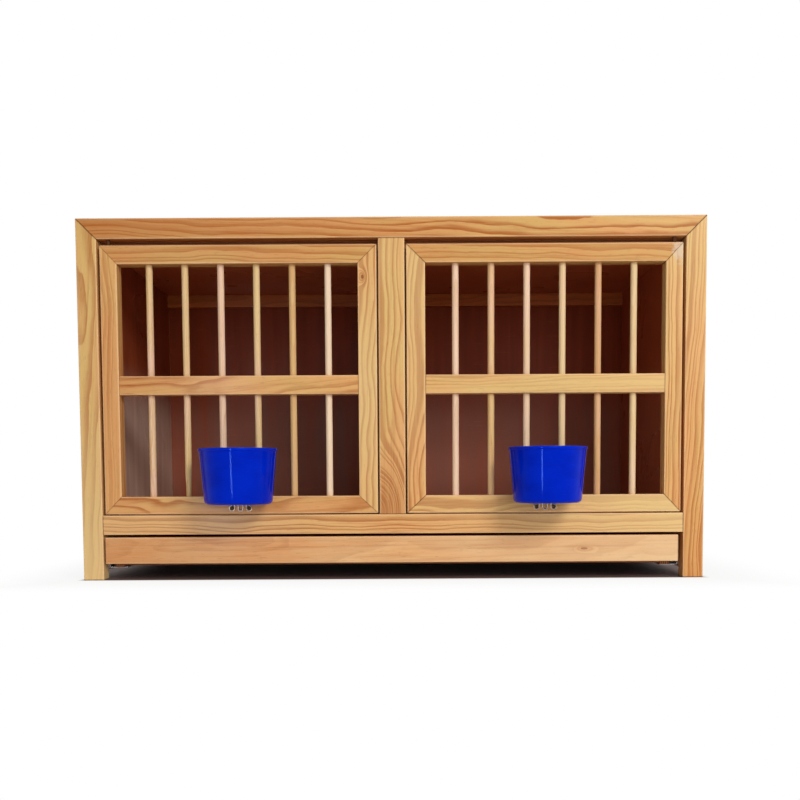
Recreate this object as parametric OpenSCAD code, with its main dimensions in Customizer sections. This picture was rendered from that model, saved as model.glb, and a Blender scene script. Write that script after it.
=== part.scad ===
// Pigeon breeding cage: a pine box on four legs with two barred doors side by side, a solid
// partition between the two compartments, a slatted floor and a droppings drawer under it.
// A plastic feeding cup hangs on the outside of each door.
// X runs to the right, Y from the front to the back and Z up. Pieces are drawn with their
// front face at Y = 0, and place() moves the whole cage so that the origin lies on the
// floor at the middle of everything, cups included.

/* [Cage] */
// Width over the two front posts
cage_w = 800; // [760:5:900]
// Depth from the front faces to the rear faces
cage_d = 400; // [360:5:480]
// Height from the floor to the top of the top rail
cage_h = 460; // [450:5:540]

/* [Frame] */
// Face width of the posts and of the rails round the top
post_w = 26; // [24:0.5:30]
// Thickness of the front and rear frames, front to back
frame_t = 22; // [21:0.5:26]
// Face width of the upright between the doors
mullion_w = 33.5; // [30:0.5:40]
// Height of the rail under the doors
sill_h = 25; // [22:0.5:30]
// Height of the rails at the bottom of the sides and the back
skirt_h = 26; // [20:1:32]
// Width of the small bevel on the long edges of each stick
ease = 1; // [0.4:0.1:1.4]
// Diameter of the glued dowels in the frame's joints
glue_dowel_d = 6; // [4:1:8]
// Length of the glued dowels
glue_dowel_l = 26; // [18:1:28]
// Distance of the glued dowels behind the front face
glue_dowel_y = 15; // [14:0.5:16]

/* [Panels] */
// Thickness of the side, back and ceiling panels
panel_t = 12; // [9:1:14]
// Distance of the ceiling below the underside of the top rail
ceiling_drop = 3; // [1:0.5:6]
// Thickness of the partition between the compartments
partition_t = 12; // [9:1:18]
// Height of the batten at the top of the back
batten_h = 20; // [14:1:28]
// Thickness of that batten
batten_t = 12; // [8:1:18]
// Distance of the panels' lower edges above the floor
panel_lift = 12; // [8:1:18]

/* [Slatted floor] */
// Width of the bearers at the sides
bearer_w = 14; // [10:1:20]
// Width of the bearer under the partition
middle_bearer_w = 34; // [28:1:44]
// Height of the bearers
bearer_h = 12; // [10:1:14]
// Width of a slat
slat_w = 14; // [10:1:20]
// Thickness of a slat
slat_h = 9; // [6:1:10]
// Smallest gap between two slats
slat_gap = 12; // [8:1:20]
// Space in front of the first slat and behind the last one
slat_row_gap = 2; // [1:0.5:6]
// Space at each end of a slat
slat_end_gap = 1; // [0.5:0.5:3]

/* [Doors] */
// Gap between a door and the post it hangs beside
hinge_gap = 3.8; // [3.4:0.1:5]
// Gap between a door and the upright
meeting_gap = 2.1; // [1.5:0.1:3]
// Gap above a door
head_gap = 8; // [5:0.5:10]
// Gap below a door
foot_gap = 1.5; // [1.3:0.1:2.5]
// Face width of the stile on the hinge side
hinge_stile_w = 21.5; // [20:0.5:26]
// Face width of the stile beside the upright
meeting_stile_w = 24; // [20:0.5:30]
// Height of a door's top rail
door_head_h = 23.5; // [20:0.5:28]
// Height of a door's bottom rail
door_foot_h = 22.5; // [21:0.5:28]
// Height of a door's middle rail
mid_rail_h = 24; // [20:0.5:30]
// Height of the lower light, from the bottom rail to the middle rail
lower_light_h = 130; // [124:1:150]

/* [Door bars] */
// Diameter of a bar
bar_d = 8.8; // [8:0.2:10]
// Number of bars in a door
bar_count = 6; // [6:2:8]
// Distance from a stile to the middle of the first bar
bar_edge = 38.7; // [30:0.1:42]
// Depth of the sockets that hold the bars' ends
bar_seat = 10; // [6:1:14]

/* [Door hinges and catches] */
// Diameter of the hinge pins
pin_d = 5; // [4:0.5:6]
// Length of a pin in the door and in the frame
pin_seat = 12; // [10:1:14]
// Distance of the pin behind the front face
pin_y = 7; // [6:0.5:7.5]
// Distance of the pin from the door's outer edge
pin_x = 10; // [9:0.5:10.5]
// Play between a pin and its bore in the door, all round
pin_play = 0.05; // [0.02:0.01:0.1]
// Diameter of the washer under a door
washer_d = 11; // [9:0.5:13]
// Thickness of the strip that the doors close against
stop_t = 8; // [6:1:12]
// Overlap of that strip behind each door
stop_lap = 9; // [8:1:14]
// Diameter of the catch magnets
magnet_d = 5; // [4:0.5:6]
// Thickness of the magnets and their steel keepers
magnet_t = 3; // [2:0.5:4]
// Height of the two catches from the middle of the door
catch_rise = 90; // [60:5:120]

/* [Drawer] */
// Height of the gap under the drawer front
drawer_clear = 21; // [18:1:30]
// Height of the drawer front
drawer_front_h = 34; // [30:1:40]
// Thickness of the drawer front
drawer_front_t = 16; // [12:1:18]
// Gap over the drawer front
drawer_head_gap = 3.5; // [2:0.5:5]
// Gap at each end of the drawer front when it is centred
drawer_end_gap = 4.5; // [4:0.5:6]
// Distance of the drawer to the left of the middle, as it hangs on its runners
drawer_offset = 1.8; // [0:0.1:2.5]
// Thickness of the drawer's sides and back
drawer_side_t = 12; // [9:1:14]
// Thickness of the drawer's bottom
drawer_bottom_t = 5; // [3:1:6]
// Distance of the drawer's bottom above the lower edge of its sides
drawer_bottom_lift = 2.5; // [1:0.5:4]
// Distance of the drawer's sides and back below the top of its front
drawer_side_drop = 5; // [3:1:8]
// Space behind the pushed-in drawer
drawer_back_gap = 8; // [5:1:20]

/* [Drawer runners] */
// Width of a runner's flange
runner_w = 24; // [22:1:28]
// Height of a runner's upright web
runner_h = 30; // [24:1:34]
// Thickness of the runner's sheet steel
runner_t = 1.2; // [1:0.1:1.6]
// Distance of the flange's top above the floor
runner_z = 15.2; // [15:0.2:16]
// Space at each end of a runner
runner_end_gap = 3; // [2:1:8]
// Distance of the runner screws below the top of the web
runner_screw_drop = 6; // [5:1:8]

/* [Feeding cups] */
// Width of a cup at its rim
cup_top_d = 98; // [90:1:104]
// Width of a cup at its bottom
cup_bottom_d = 84; // [70:1:88]
// Depth of a cup from its flat back to the front of its rim
cup_depth = 84; // [80:1:90]
// Height of a cup
cup_h = 69.5; // [60:0.5:76]
// Thickness of a cup's wall
cup_wall = 2.2; // [1.8:0.1:3]
// Height of the thicker band at the rim
cup_rim_h = 4; // [3:0.5:6]
// Distance that this band stands out
cup_rim_out = 0.8; // [0.5:0.1:1.4]
// Distance of a cup's bottom below the top of the door's bottom rail
cup_drop = 9.5; // [6:0.5:10]
// Radius of the bend between a cup's bottom and its wall
cup_bend_r = 5; // [4:0.5:6]
// Distance of the left cup towards the middle, as it hangs on its bracket
left_cup_shift = 4; // [0:0.5:4]
// Distance of the right cup towards the middle
right_cup_shift = 2; // [0:0.5:4]

/* [Cup hooks and brackets] */
// Diameter of the bracket wire
wire_d = 2; // [1.6:0.1:2.2]
// Distance between the two screw eyes of a bracket
eye_pitch = 22; // [21:0.5:26]
// Outer diameter of an eye
eye_d = 8.6; // [8:0.1:9.4]
// Distance of the eyes below the top of the door's bottom rail
eye_drop = 15.4; // [15:0.1:16]
// Height of the bracket's loops above the door's bottom rail
loop_rise = 33; // [24:1:40]
// Width of the wire tongue between the two loops
tongue_w = 6; // [5:0.5:8]
// Width of the hook on a cup's back
hook_w = 26; // [22:1:30]
// Thickness of the hook
hook_t = 2.2; // [1.8:0.1:2.6]
// Distance of the hook's tail behind the door's face
hook_y = 0.8; // [0.4:0.1:1.2]
// Length of the hook's tail behind the wire
hook_tail = 12; // [8:1:16]

/* [Screws] */
// Diameter of a screw's shank
screw_d = 3.2; // [2.6:0.2:3.6]
// Diameter of a countersunk head
screw_head_d = 7; // [6:0.5:8]
// Length of a panel screw
screw_l = 20; // [18:1:22]
// Distance of the outer screws from the ends of their row
screw_end = 35; // [25:5:60]
// Diameter of the small screws' round heads
small_head_d = 5.4; // [5.2:0.1:6]
// Height of those heads
small_head_h = 1.4; // [1.2:0.1:1.8]
// Diameter of the small screws' shanks
small_shank_d = 2.4; // [2:0.2:2.6]
// Length of the small screws' shanks
small_shank_l = 10; // [8:1:11]

/* [Hidden] */
// Clearance between pieces that move past each other
run_gap = 0.3;
// Clearance round a glued or driven pin in its hole
seat_gap = 0.02;
// Excess length of cutting shapes
over = 1;
// Difference between a small screw's head at its underside and at its top, in radius
head_taper = 0.8;
// Angle at which the wire of an eye ends
eye_end = 78;
// Fineness of round shapes
$fn = 64;

half_w = cage_w / 2;
inner_x = half_w - post_w;
head_z = cage_h - post_w;
ceiling_z = head_z - ceiling_drop;
drawer_top_z = drawer_clear + drawer_front_h;
sill_z = drawer_top_z + drawer_head_gap;
sill_top_z = sill_z + sill_h;
rear_y = cage_d - frame_t;
panel_out_y = rear_y + panel_t;
panel_out_x = inner_x + panel_t;
skirt_z = drawer_clear;
bearer_z = sill_z;
slat_z = bearer_z + bearer_h;
slat_top_z = slat_z + slat_h;
mullion_x = mullion_w / 2;

door_t = frame_t - run_gap;
door_outer_x = inner_x - hinge_gap;
door_inner_x = mullion_x + meeting_gap;
door_z = sill_top_z + foot_gap;
door_top_z = head_z - head_gap;
light_outer_x = door_outer_x - hinge_stile_w;
light_inner_x = door_inner_x + meeting_stile_w;
light_x = (light_outer_x + light_inner_x) / 2;
light_z = door_z + door_foot_h;
light_top_z = door_top_z - door_head_h;
mid_rail_z = light_z + lower_light_h;
bar_pitch = (light_outer_x - light_inner_x - 2 * bar_edge) / (bar_count - 1);
pin_axis_x = door_outer_x - pin_x;
washer_t = foot_gap - run_gap;
stop_half_w = mullion_x + meeting_gap + stop_lap;
magnet_x = stop_half_w - stop_lap / 2;
door_mid_z = (door_z + door_top_z) / 2;

drawer_half_w = inner_x - drawer_end_gap;
drawer_z = runner_z + run_gap;
drawer_box_x = inner_x - runner_w + drawer_side_t;
drawer_end_y = rear_y - drawer_back_gap;
drawer_side_top_z = drawer_top_z - drawer_side_drop;
runner_y = frame_t + runner_end_gap;
runner_end_y = rear_y - runner_end_gap;
runner_top_z = runner_z - runner_t + runner_h;

wire_y = -wire_d / 2;
eye_r = (eye_d - wire_d) / 2;
eye_z = light_z - eye_drop;
riser_x = eye_pitch / 2 - eye_r;
tongue_r = tongue_w / 2;
tongue_z = eye_z - eye_r + tongue_r;
loop_r = (riser_x - tongue_r) / 2;
loop_z = light_z + loop_rise - loop_r;
loop_top_z = loop_z + loop_r + wire_d / 2;
cup_back_y = -wire_d - run_gap;
cup_axis_y = cup_back_y - cup_depth + cup_top_d / 2;
cup_z = light_z - cup_drop;
front_reach = cup_depth - cup_back_y;
front_y = (front_reach - cage_d) / 2;

PINE = [0.87, 0.66, 0.42];
FILM_PLY = [0.36, 0.17, 0.12];
STEEL = [0.72, 0.73, 0.74];
DARK_STEEL = [0.25, 0.22, 0.2];
BLUE = [0.02, 0.12, 0.75];

// Moves a piece from the drawing's zero at the front face to the cage's own origin
module place() {
    translate([0, front_y, 0]) children();
}

// Draws a right-hand piece as it is, or turned over for the left
module on_side(side) {
    mirror([side == "left" ? 1 : 0, 0, 0]) children();
}

// Outline of a stick's section with its four corners bevelled
function eased(w, h) = [
    [ease, 0], [w - ease, 0], [w, ease], [w, h - ease],
    [w - ease, h], [ease, h], [0, h - ease], [0, ease]
];

// Upright stick between two opposite corners
module stick_z(lo, hi) {
    translate(lo) linear_extrude(hi.z - lo.z) polygon(eased(hi.x - lo.x, hi.y - lo.y));
}

// Stick along X between two opposite corners
module stick_x(lo, hi) {
    translate(lo) rotate([90, 0, 90]) linear_extrude(hi.x - lo.x)
        polygon(eased(hi.y - lo.y, hi.z - lo.z));
}

// Stick along Y between two opposite corners
module stick_y(lo, hi) {
    translate([lo.x, hi.y, lo.z]) rotate([90, 0, 0]) linear_extrude(hi.y - lo.y)
        polygon(eased(hi.x - lo.x, hi.z - lo.z));
}

// Square-edged board between two opposite corners
module board(lo, hi) {
    translate(lo) cube(hi - lo);
}

// Keeps what lies inside an outline in the XZ plane, which gives the mitred ends
module mitred(points) {
    intersection() {
        children();
        translate([0, frame_t + over, 0]) rotate([90, 0, 0])
            linear_extrude(frame_t + 2 * over) polygon(points);
    }
}

// Glued dowels of the front frame, at their own radius or as the holes for them
module frame_dowels(gap) {
    r = glue_dowel_d / 2 + gap;
    l = glue_dowel_l + 2 * gap;
    for (side = [-1, 1]) {
        translate([side * (half_w - post_w / 2), glue_dowel_y, cage_h - post_w / 2])
            rotate([0, -45 * side, 0]) cylinder(h = l, r = r, center = true);
        translate([side * inner_x, glue_dowel_y, sill_z + sill_h / 2])
            rotate([0, 90, 0]) cylinder(h = l, r = r, center = true);
    }
    for (z = [sill_top_z, head_z])
        translate([0, glue_dowel_y, z]) cylinder(h = l, r = r, center = true);
}

// Hinge pins of one door, at their own radius or as the holes for them
module pins(gap) {
    for (z = [sill_top_z - pin_seat, door_top_z - pin_seat])
        translate([pin_axis_x, pin_y, z - gap])
            cylinder(h = 2 * pin_seat + gap_over(z) + 2 * gap, r = pin_d / 2 + gap);
}

// Gap that a hinge pin bridges, below or above its door
function gap_over(z) = z < door_mid_z ? foot_gap : head_gap;

// Countersunk screw with the flat of its head at the origin, pointing along +Z
module screw(gap) {
    sink = (screw_head_d - screw_d) / 2;
    cylinder(h = screw_l + gap, r = screw_d / 2 + gap);
    cylinder(h = sink, r1 = screw_head_d / 2 + gap, r2 = screw_d / 2 + gap);
}

// Places that panel screws take along a length
function screw_steps(lo, hi, count) = [for (i = [0 : count - 1]) lo + (hi - lo) * i / (count - 1)];

// Screws through the back panel into the batten, and through the rear skirt into the panel
module back_screws(gap) {
    for (x = screw_steps(-inner_x + screw_end, inner_x - screw_end, 5)) {
        translate([x, panel_out_y, ceiling_z - batten_h / 2]) rotate([90, 0, 0]) screw(gap);
        translate([x, cage_d, skirt_z + skirt_h / 2]) rotate([90, 0, 0]) screw(gap);
    }
}

// Screws of the right side: through the skirt into the panel, and through it into the bearer
module side_screws(gap) {
    for (y = screw_steps(frame_t + screw_end, rear_y - screw_end, 3)) {
        translate([half_w, y, skirt_z + skirt_h / 2]) rotate([0, -90, 0]) screw(gap);
        translate([panel_out_x, y, bearer_z + bearer_h / 2]) rotate([0, -90, 0]) screw(gap);
    }
}

// Round-headed screw with the underside of its head at the origin, pointing along +Z
module small_screw(gap) {
    cylinder(h = small_shank_l + gap, r = small_shank_d / 2 + gap);
    translate([0, 0, -small_head_h])
        cylinder(h = small_head_h, r1 = small_head_d / 2 - head_taper, r2 = small_head_d / 2);
}

// Places of the runner screws on the right side
module runner_screw_places(gap) {
    for (y = screw_steps(runner_y + screw_end, runner_end_y - screw_end, 3))
        translate([inner_x - runner_t, y, runner_top_z - runner_screw_drop])
            rotate([0, 90, 0]) small_screw(gap);
}

// Magnets or keepers of the right door: Y is the depth at which a pair starts
module catch_discs(y, gap) {
    for (z = [door_mid_z - catch_rise, door_mid_z + catch_rise])
        translate([magnet_x, y, z]) rotate([-90, 0, 0])
            cylinder(h = magnet_t, r = magnet_d / 2 + gap);
}

// Middle of each bar of the right door
function bar_xs() = [for (i = [0 : bar_count - 1]) light_inner_x + bar_edge + i * bar_pitch];

// Bars of the right door between two heights
module bars(lo_z, hi_z, gap) {
    for (x = bar_xs())
        translate([x, door_t / 2, lo_z]) cylinder(h = hi_z - lo_z, r = bar_d / 2 + gap);
}

module front_post(side) {
    color(PINE) on_side(side) difference() {
        mitred([[inner_x, -over], [half_w, -over], [half_w, cage_h], [inner_x, head_z]])
            stick_z([inner_x, 0, 0], [half_w, frame_t, cage_h]);
        frame_dowels(seat_gap);
    }
}

module top_rail() {
    color(PINE) difference() {
        mitred([[-half_w, cage_h], [-inner_x, head_z], [inner_x, head_z], [half_w, cage_h]])
            stick_x([-half_w, 0, head_z], [half_w, frame_t, cage_h]);
        frame_dowels(seat_gap);
        for (side = ["left", "right"]) on_side(side) pins(seat_gap);
    }
}

module sill_rail() {
    color(PINE) difference() {
        stick_x([-inner_x, 0, sill_z], [inner_x, frame_t, sill_top_z]);
        frame_dowels(seat_gap);
        for (side = ["left", "right"]) on_side(side) pins(seat_gap);
    }
}

module mullion() {
    color(PINE) difference() {
        stick_z([-mullion_x, 0, sill_top_z], [mullion_x, frame_t, head_z]);
        frame_dowels(seat_gap);
    }
}

module rear_post(side) {
    color(PINE) on_side(side) stick_z([inner_x, rear_y, 0], [half_w, cage_d, cage_h]);
}

module rear_top_rail() {
    color(PINE) stick_x([-inner_x, rear_y, head_z], [inner_x, cage_d, cage_h]);
}

module rear_skirt() {
    color(PINE) difference() {
        stick_x([-inner_x, panel_out_y, skirt_z], [inner_x, cage_d, skirt_z + skirt_h]);
        back_screws(seat_gap);
    }
}

module top_side_rail(side) {
    color(PINE) on_side(side) stick_y([inner_x, frame_t, head_z], [half_w, rear_y, cage_h]);
}

module side_skirt(side) {
    color(PINE) on_side(side) difference() {
        stick_y([panel_out_x, frame_t, skirt_z], [half_w, rear_y, skirt_z + skirt_h]);
        side_screws(seat_gap);
    }
}

module side_panel(side) {
    color(FILM_PLY) on_side(side) difference() {
        board([inner_x, frame_t, panel_lift], [panel_out_x, rear_y, head_z]);
        side_screws(seat_gap);
        runner_screw_places(seat_gap);
    }
}

module back_panel() {
    color(FILM_PLY) difference() {
        board([-inner_x, rear_y, panel_lift], [inner_x, panel_out_y, head_z]);
        back_screws(seat_gap);
    }
}

module ceiling_panel() {
    color(FILM_PLY) board([-inner_x, frame_t, ceiling_z], [inner_x, rear_y, ceiling_z + panel_t]);
}

module top_board() {
    color(PINE) board([-inner_x, frame_t, ceiling_z + panel_t], [inner_x, rear_y, cage_h]);
}

module partition() {
    color(FILM_PLY) difference() {
        board([-partition_t / 2, frame_t + stop_t, slat_z], [partition_t / 2, rear_y, ceiling_z]);
        board([-partition_t, rear_y - batten_t, ceiling_z - batten_h],
              [partition_t, cage_d, cage_h]);
    }
}

module back_batten() {
    color(PINE) difference() {
        stick_x([-inner_x, rear_y - batten_t, ceiling_z - batten_h],
                [inner_x, rear_y, ceiling_z]);
        back_screws(seat_gap);
    }
}

module door_stop() {
    color(PINE) difference() {
        board([-stop_half_w, frame_t, slat_z], [stop_half_w, frame_t + stop_t, ceiling_z]);
        for (side = ["left", "right"]) on_side(side) catch_discs(frame_t, seat_gap);
    }
}

module floor_bearers() {
    color(PINE) difference() {
        union() {
            for (side = ["left", "right"])
                on_side(side)
                    board([inner_x - bearer_w, frame_t, bearer_z], [inner_x, rear_y, slat_z]);
            board([-middle_bearer_w / 2, frame_t, bearer_z],
                  [middle_bearer_w / 2, rear_y, slat_z]);
        }
        for (side = ["left", "right"]) on_side(side) side_screws(seat_gap);
    }
}

// Floor of one compartment: as many slats as fit, spread evenly behind the sill
module floor_slats(side) {
    start_y = frame_t + stop_t + slat_row_gap;
    room = rear_y - start_y - slat_row_gap;
    count = floor((room + slat_gap) / (slat_w + slat_gap));
    step = (room - slat_w) / (count - 1);
    color(PINE) on_side(side) for (i = [0 : count - 1])
        translate([0, start_y + i * step, 0])
            stick_x([partition_t / 2 + slat_end_gap, 0, slat_z],
                    [inner_x - slat_end_gap, slat_w, slat_top_z]);
}

// Folded steel angle that one side of the drawer slides on
module runner(side) {
    color(STEEL) on_side(side) difference() {
        union() {
            board([inner_x - runner_w, runner_y, runner_z - runner_t],
                  [inner_x, runner_end_y, runner_z]);
            board([inner_x - runner_t, runner_y, runner_z - runner_t],
                  [inner_x, runner_end_y, runner_top_z]);
        }
        runner_screw_places(seat_gap);
    }
}

module runner_screws() {
    color(STEEL) for (side = ["left", "right"]) on_side(side) runner_screw_places(0);
}

module glue_dowels() {
    color(PINE) frame_dowels(0);
}

module panel_screws() {
    color(STEEL) back_screws(0);
    color(STEEL) for (side = ["left", "right"]) on_side(side) side_screws(0);
}

module hinge_pins() {
    color(STEEL) for (side = ["left", "right"]) on_side(side) pins(0);
}

module hinge_washers() {
    color(STEEL) for (side = ["left", "right"]) on_side(side)
        translate([pin_axis_x, pin_y, sill_top_z]) difference() {
            cylinder(h = washer_t, r = washer_d / 2);
            translate([0, 0, -over]) cylinder(h = washer_t + 2 * over, r = pin_d / 2 + pin_play);
        }
}

module door_magnets() {
    color(STEEL) for (side = ["left", "right"]) on_side(side) catch_discs(frame_t, 0);
}

module hinge_stile(side) {
    color(PINE) on_side(side) difference() {
        mitred([[door_outer_x, door_z], [door_outer_x, door_top_z],
                [light_outer_x, light_top_z], [light_outer_x, light_z]])
            stick_z([light_outer_x, 0, door_z], [door_outer_x, door_t, door_top_z]);
        pins(pin_play);
    }
}

module meeting_stile(side) {
    color(PINE) on_side(side) difference() {
        mitred([[door_inner_x, door_z], [door_inner_x, door_top_z],
                [light_inner_x, light_top_z], [light_inner_x, light_z]])
            stick_z([door_inner_x, 0, door_z], [light_inner_x, door_t, door_top_z]);
        catch_discs(door_t - magnet_t, seat_gap);
    }
}

module door_head(side) {
    color(PINE) on_side(side) difference() {
        mitred([[door_inner_x, door_top_z], [door_outer_x, door_top_z],
                [light_outer_x, light_top_z], [light_inner_x, light_top_z]])
            stick_x([door_inner_x, 0, light_top_z], [door_outer_x, door_t, door_top_z]);
        pins(pin_play);
        bars(light_top_z - over, light_top_z + bar_seat, seat_gap);
    }
}

module door_foot(side) {
    color(PINE) on_side(side) difference() {
        mitred([[door_inner_x, door_z], [door_outer_x, door_z],
                [light_outer_x, light_z], [light_inner_x, light_z]])
            stick_x([door_inner_x, 0, door_z], [door_outer_x, door_t, light_z]);
        pins(pin_play);
        bars(light_z - bar_seat, light_z + over, seat_gap);
        bracket_screws(seat_gap);
    }
}

module mid_rail(side) {
    color(PINE) on_side(side) difference() {
        stick_x([light_inner_x, 0, mid_rail_z], [light_outer_x, door_t, mid_rail_z + mid_rail_h]);
        bars(mid_rail_z - over, mid_rail_z + mid_rail_h + over, seat_gap);
    }
}

module door_bars(side) {
    color(PINE) on_side(side)
        bars(light_z - bar_seat + seat_gap, light_top_z + bar_seat - seat_gap, 0);
}

module keepers(side) {
    color(STEEL) on_side(side) catch_discs(door_t - magnet_t, 0);
}

// Screws of the right cup bracket
module bracket_screws(gap) {
    for (x = [light_x - eye_pitch / 2, light_x + eye_pitch / 2])
        translate([x, -wire_d, eye_z]) rotate([-90, 0, 0]) small_screw(gap);
}

// Points along an arc in the XZ plane
function arc(middle, r, from, to, steps) = [
    for (i = [0 : steps])
        let (a = from + (to - from) * i / steps) middle + r * [cos(a), sin(a)]
];

// Left half of the bracket's wire, from the open end of its eye to the foot of the tongue
function half_wire() = concat(
    arc([-eye_pitch / 2, eye_z], eye_r, eye_end, 360, 18),
    arc([-(riser_x + tongue_r) / 2, loop_z], loop_r, 180, 0, 8),
    arc([0, tongue_z], tongue_r, 180, 270, 5)
);

// Whole wire, from one eye to the other
function bracket_wire() =
    let (half = half_wire())
    concat(half, [for (i = [len(half) - 2 : -1 : 0]) [-half[i].x, half[i].y]]);

// Round wire along a path in the XZ plane, as one closed skin
module wire(path, sides = 8) {
    last = len(path) - 1;
    rings = [for (i = [0 : last])
        let (way = path[min(i + 1, last)] - path[max(i - 1, 0)])
        let (across = [-way.y, way.x] / norm(way))
        for (k = [0 : sides - 1])
            let (a = 360 * k / sides, out = wire_d / 2 * cos(a) * across)
            [path[i].x + out.x, wire_d / 2 * sin(a), path[i].y + out.y]];
    skin = [for (i = [0 : last - 1], k = [0 : sides - 1])
        let (a = i * sides + k, b = i * sides + (k + 1) % sides)
        each [[a, b, a + sides], [b, b + sides, a + sides]]];
    caps = [for (k = [1 : sides - 2])
        each [[0, k + 1, k], [last * sides, last * sides + k, last * sides + k + 1]]];
    polyhedron(rings, concat(skin, caps));
}

// Bent wire: an eye for each screw, a riser and a loop over it, and a tongue in the middle
module cup_bracket(side) {
    color(STEEL) on_side(side) translate([light_x, wire_y, 0]) wire(bracket_wire());
}

module cup_screws(side) {
    color(DARK_STEEL) on_side(side) bracket_screws(0);
}

// Section of a cup's outside: rounded bottom edge, sloping wall and rim band
function cup_outline() =
    let (bottom_r = cup_bottom_d / 2, top_r = cup_top_d / 2 - cup_rim_out)
    let (lean = atan((top_r - bottom_r) / cup_h), rim_z = cup_h - cup_rim_h)
    concat(
        [[0, 0]],
        [for (a = [-90 : 15 : -lean])
            [bottom_r - cup_bend_r + cup_bend_r * cos(a), cup_bend_r + cup_bend_r * sin(a)]],
        [[top_r - cup_rim_h * tan(lean), rim_z], [top_r + cup_rim_out, rim_z + cup_rim_out],
         [top_r + cup_rim_out, cup_h], [0, cup_h]]
    );

// Section of a cup's hollow
function cup_hollow() =
    let (bottom_r = cup_bottom_d / 2 - cup_wall, top_r = cup_top_d / 2 - cup_rim_out - cup_wall)
    let (bend_r = cup_bend_r - cup_wall)
    concat(
        [[0, cup_wall]],
        [for (a = [-90 : 15 : 0])
            [bottom_r - bend_r + bend_r * cos(a), cup_wall + bend_r + bend_r * sin(a)]],
        [[top_r, cup_h], [top_r, cup_h + over], [0, cup_h + over]]
    );

// Turned shape of a cup, cut flat at the back
module cup_turned(outline, back_y) {
    intersection() {
        translate([0, cup_axis_y, cup_z]) rotate_extrude($fn = 96) polygon(outline);
        board([-cup_top_d, back_y - 2 * cup_top_d, cup_z - over],
              [cup_top_d, back_y, cup_z + cup_h + over]);
    }
}

// Feeding cup with the hook on its back that hangs over the bracket's loops
module cup(side) {
    hook_z = loop_top_z + run_gap;
    shift = side == "left" ? left_cup_shift : right_cup_shift;
    color(BLUE) on_side(side) translate([light_x - shift, 0, 0]) {
        difference() {
            cup_turned(cup_outline(), cup_back_y);
            cup_turned(cup_hollow(), cup_back_y - cup_wall);
        }
        board([-hook_w / 2, cup_back_y, hook_z], [hook_w / 2, hook_y + hook_t, hook_z + hook_t]);
        board([-hook_w / 2, hook_y, hook_z + hook_t - hook_tail],
              [hook_w / 2, hook_y + hook_t, hook_z + hook_t]);
    }
}

module drawer_front() {
    color(PINE) stick_x([-drawer_half_w - drawer_offset, 0, drawer_clear],
                        [drawer_half_w - drawer_offset, drawer_front_t, drawer_top_z]);
}

module drawer_side(hand) {
    color(FILM_PLY) translate([-drawer_offset, 0, 0]) on_side(hand)
        board([drawer_box_x - drawer_side_t, drawer_front_t, drawer_z],
              [drawer_box_x, drawer_end_y, drawer_side_top_z]);
}

module drawer_back() {
    color(FILM_PLY) translate([-drawer_offset, 0, 0])
        board([-drawer_box_x + drawer_side_t, drawer_end_y - drawer_side_t, drawer_z],
              [drawer_box_x - drawer_side_t, drawer_end_y, drawer_side_top_z]);
}

module drawer_bottom() {
    bottom_z = drawer_z + drawer_bottom_lift;
    color(FILM_PLY) translate([-drawer_offset, 0, 0])
        board([-drawer_box_x + drawer_side_t, drawer_front_t, bottom_z],
              [drawer_box_x - drawer_side_t, drawer_end_y - drawer_side_t,
               bottom_z + drawer_bottom_t]);
}

place() front_post("left");  // left_front_post
place() front_post("right");  // right_front_post
place() top_rail();
place() sill_rail();
place() mullion();
place() rear_post("left");  // left_rear_post
place() rear_post("right");  // right_rear_post
place() rear_top_rail();
place() rear_skirt();
place() top_side_rail("left");  // left_top_side_rail
place() top_side_rail("right");  // right_top_side_rail
place() side_skirt("left");  // left_skirt
place() side_skirt("right");  // right_skirt
place() side_panel("left");  // left_side_panel
place() side_panel("right");  // right_side_panel
place() back_panel();
place() ceiling_panel();
place() top_board();
place() partition();
place() back_batten();
place() door_stop();
place() floor_bearers();
place() floor_slats("left");  // left_floor_slats
place() floor_slats("right");  // right_floor_slats
place() runner("left");  // left_runner
place() runner("right");  // right_runner
place() runner_screws();
place() glue_dowels();
place() panel_screws();
place() hinge_pins();
place() hinge_washers();
place() door_magnets();
place() hinge_stile("left");  // left_hinge_stile
place() meeting_stile("left");  // left_meeting_stile
place() door_head("left");  // left_door_head
place() door_foot("left");  // left_door_foot
place() mid_rail("left");  // left_mid_rail
place() door_bars("left");  // left_door_bars
place() keepers("left");  // left_keepers
place() cup_bracket("left");  // left_cup_bracket
place() cup_screws("left");  // left_cup_screws
place() hinge_stile("right");  // right_hinge_stile
place() meeting_stile("right");  // right_meeting_stile
place() door_head("right");  // right_door_head
place() door_foot("right");  // right_door_foot
place() mid_rail("right");  // right_mid_rail
place() door_bars("right");  // right_door_bars
place() keepers("right");  // right_keepers
place() cup_bracket("right");  // right_cup_bracket
place() cup_screws("right");  // right_cup_screws
place() cup("left");  // left_cup
place() cup("right");  // right_cup
place() drawer_front();
place() drawer_side("left");  // drawer_left_side
place() drawer_side("right");  // drawer_right_side
place() drawer_back();
place() drawer_bottom();
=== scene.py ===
"""Dresses the pigeon breeding cage: its pine frame, barred doors, brown panels, drawer and blue cups."""

import logging
import math
import random
from abc import ABC, abstractmethod
from dataclasses import dataclass, field, replace
from enum import Enum
from typing import ClassVar, Sequence

import bmesh
import bpy
from mathutils import Matrix, Vector, noise


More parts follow.
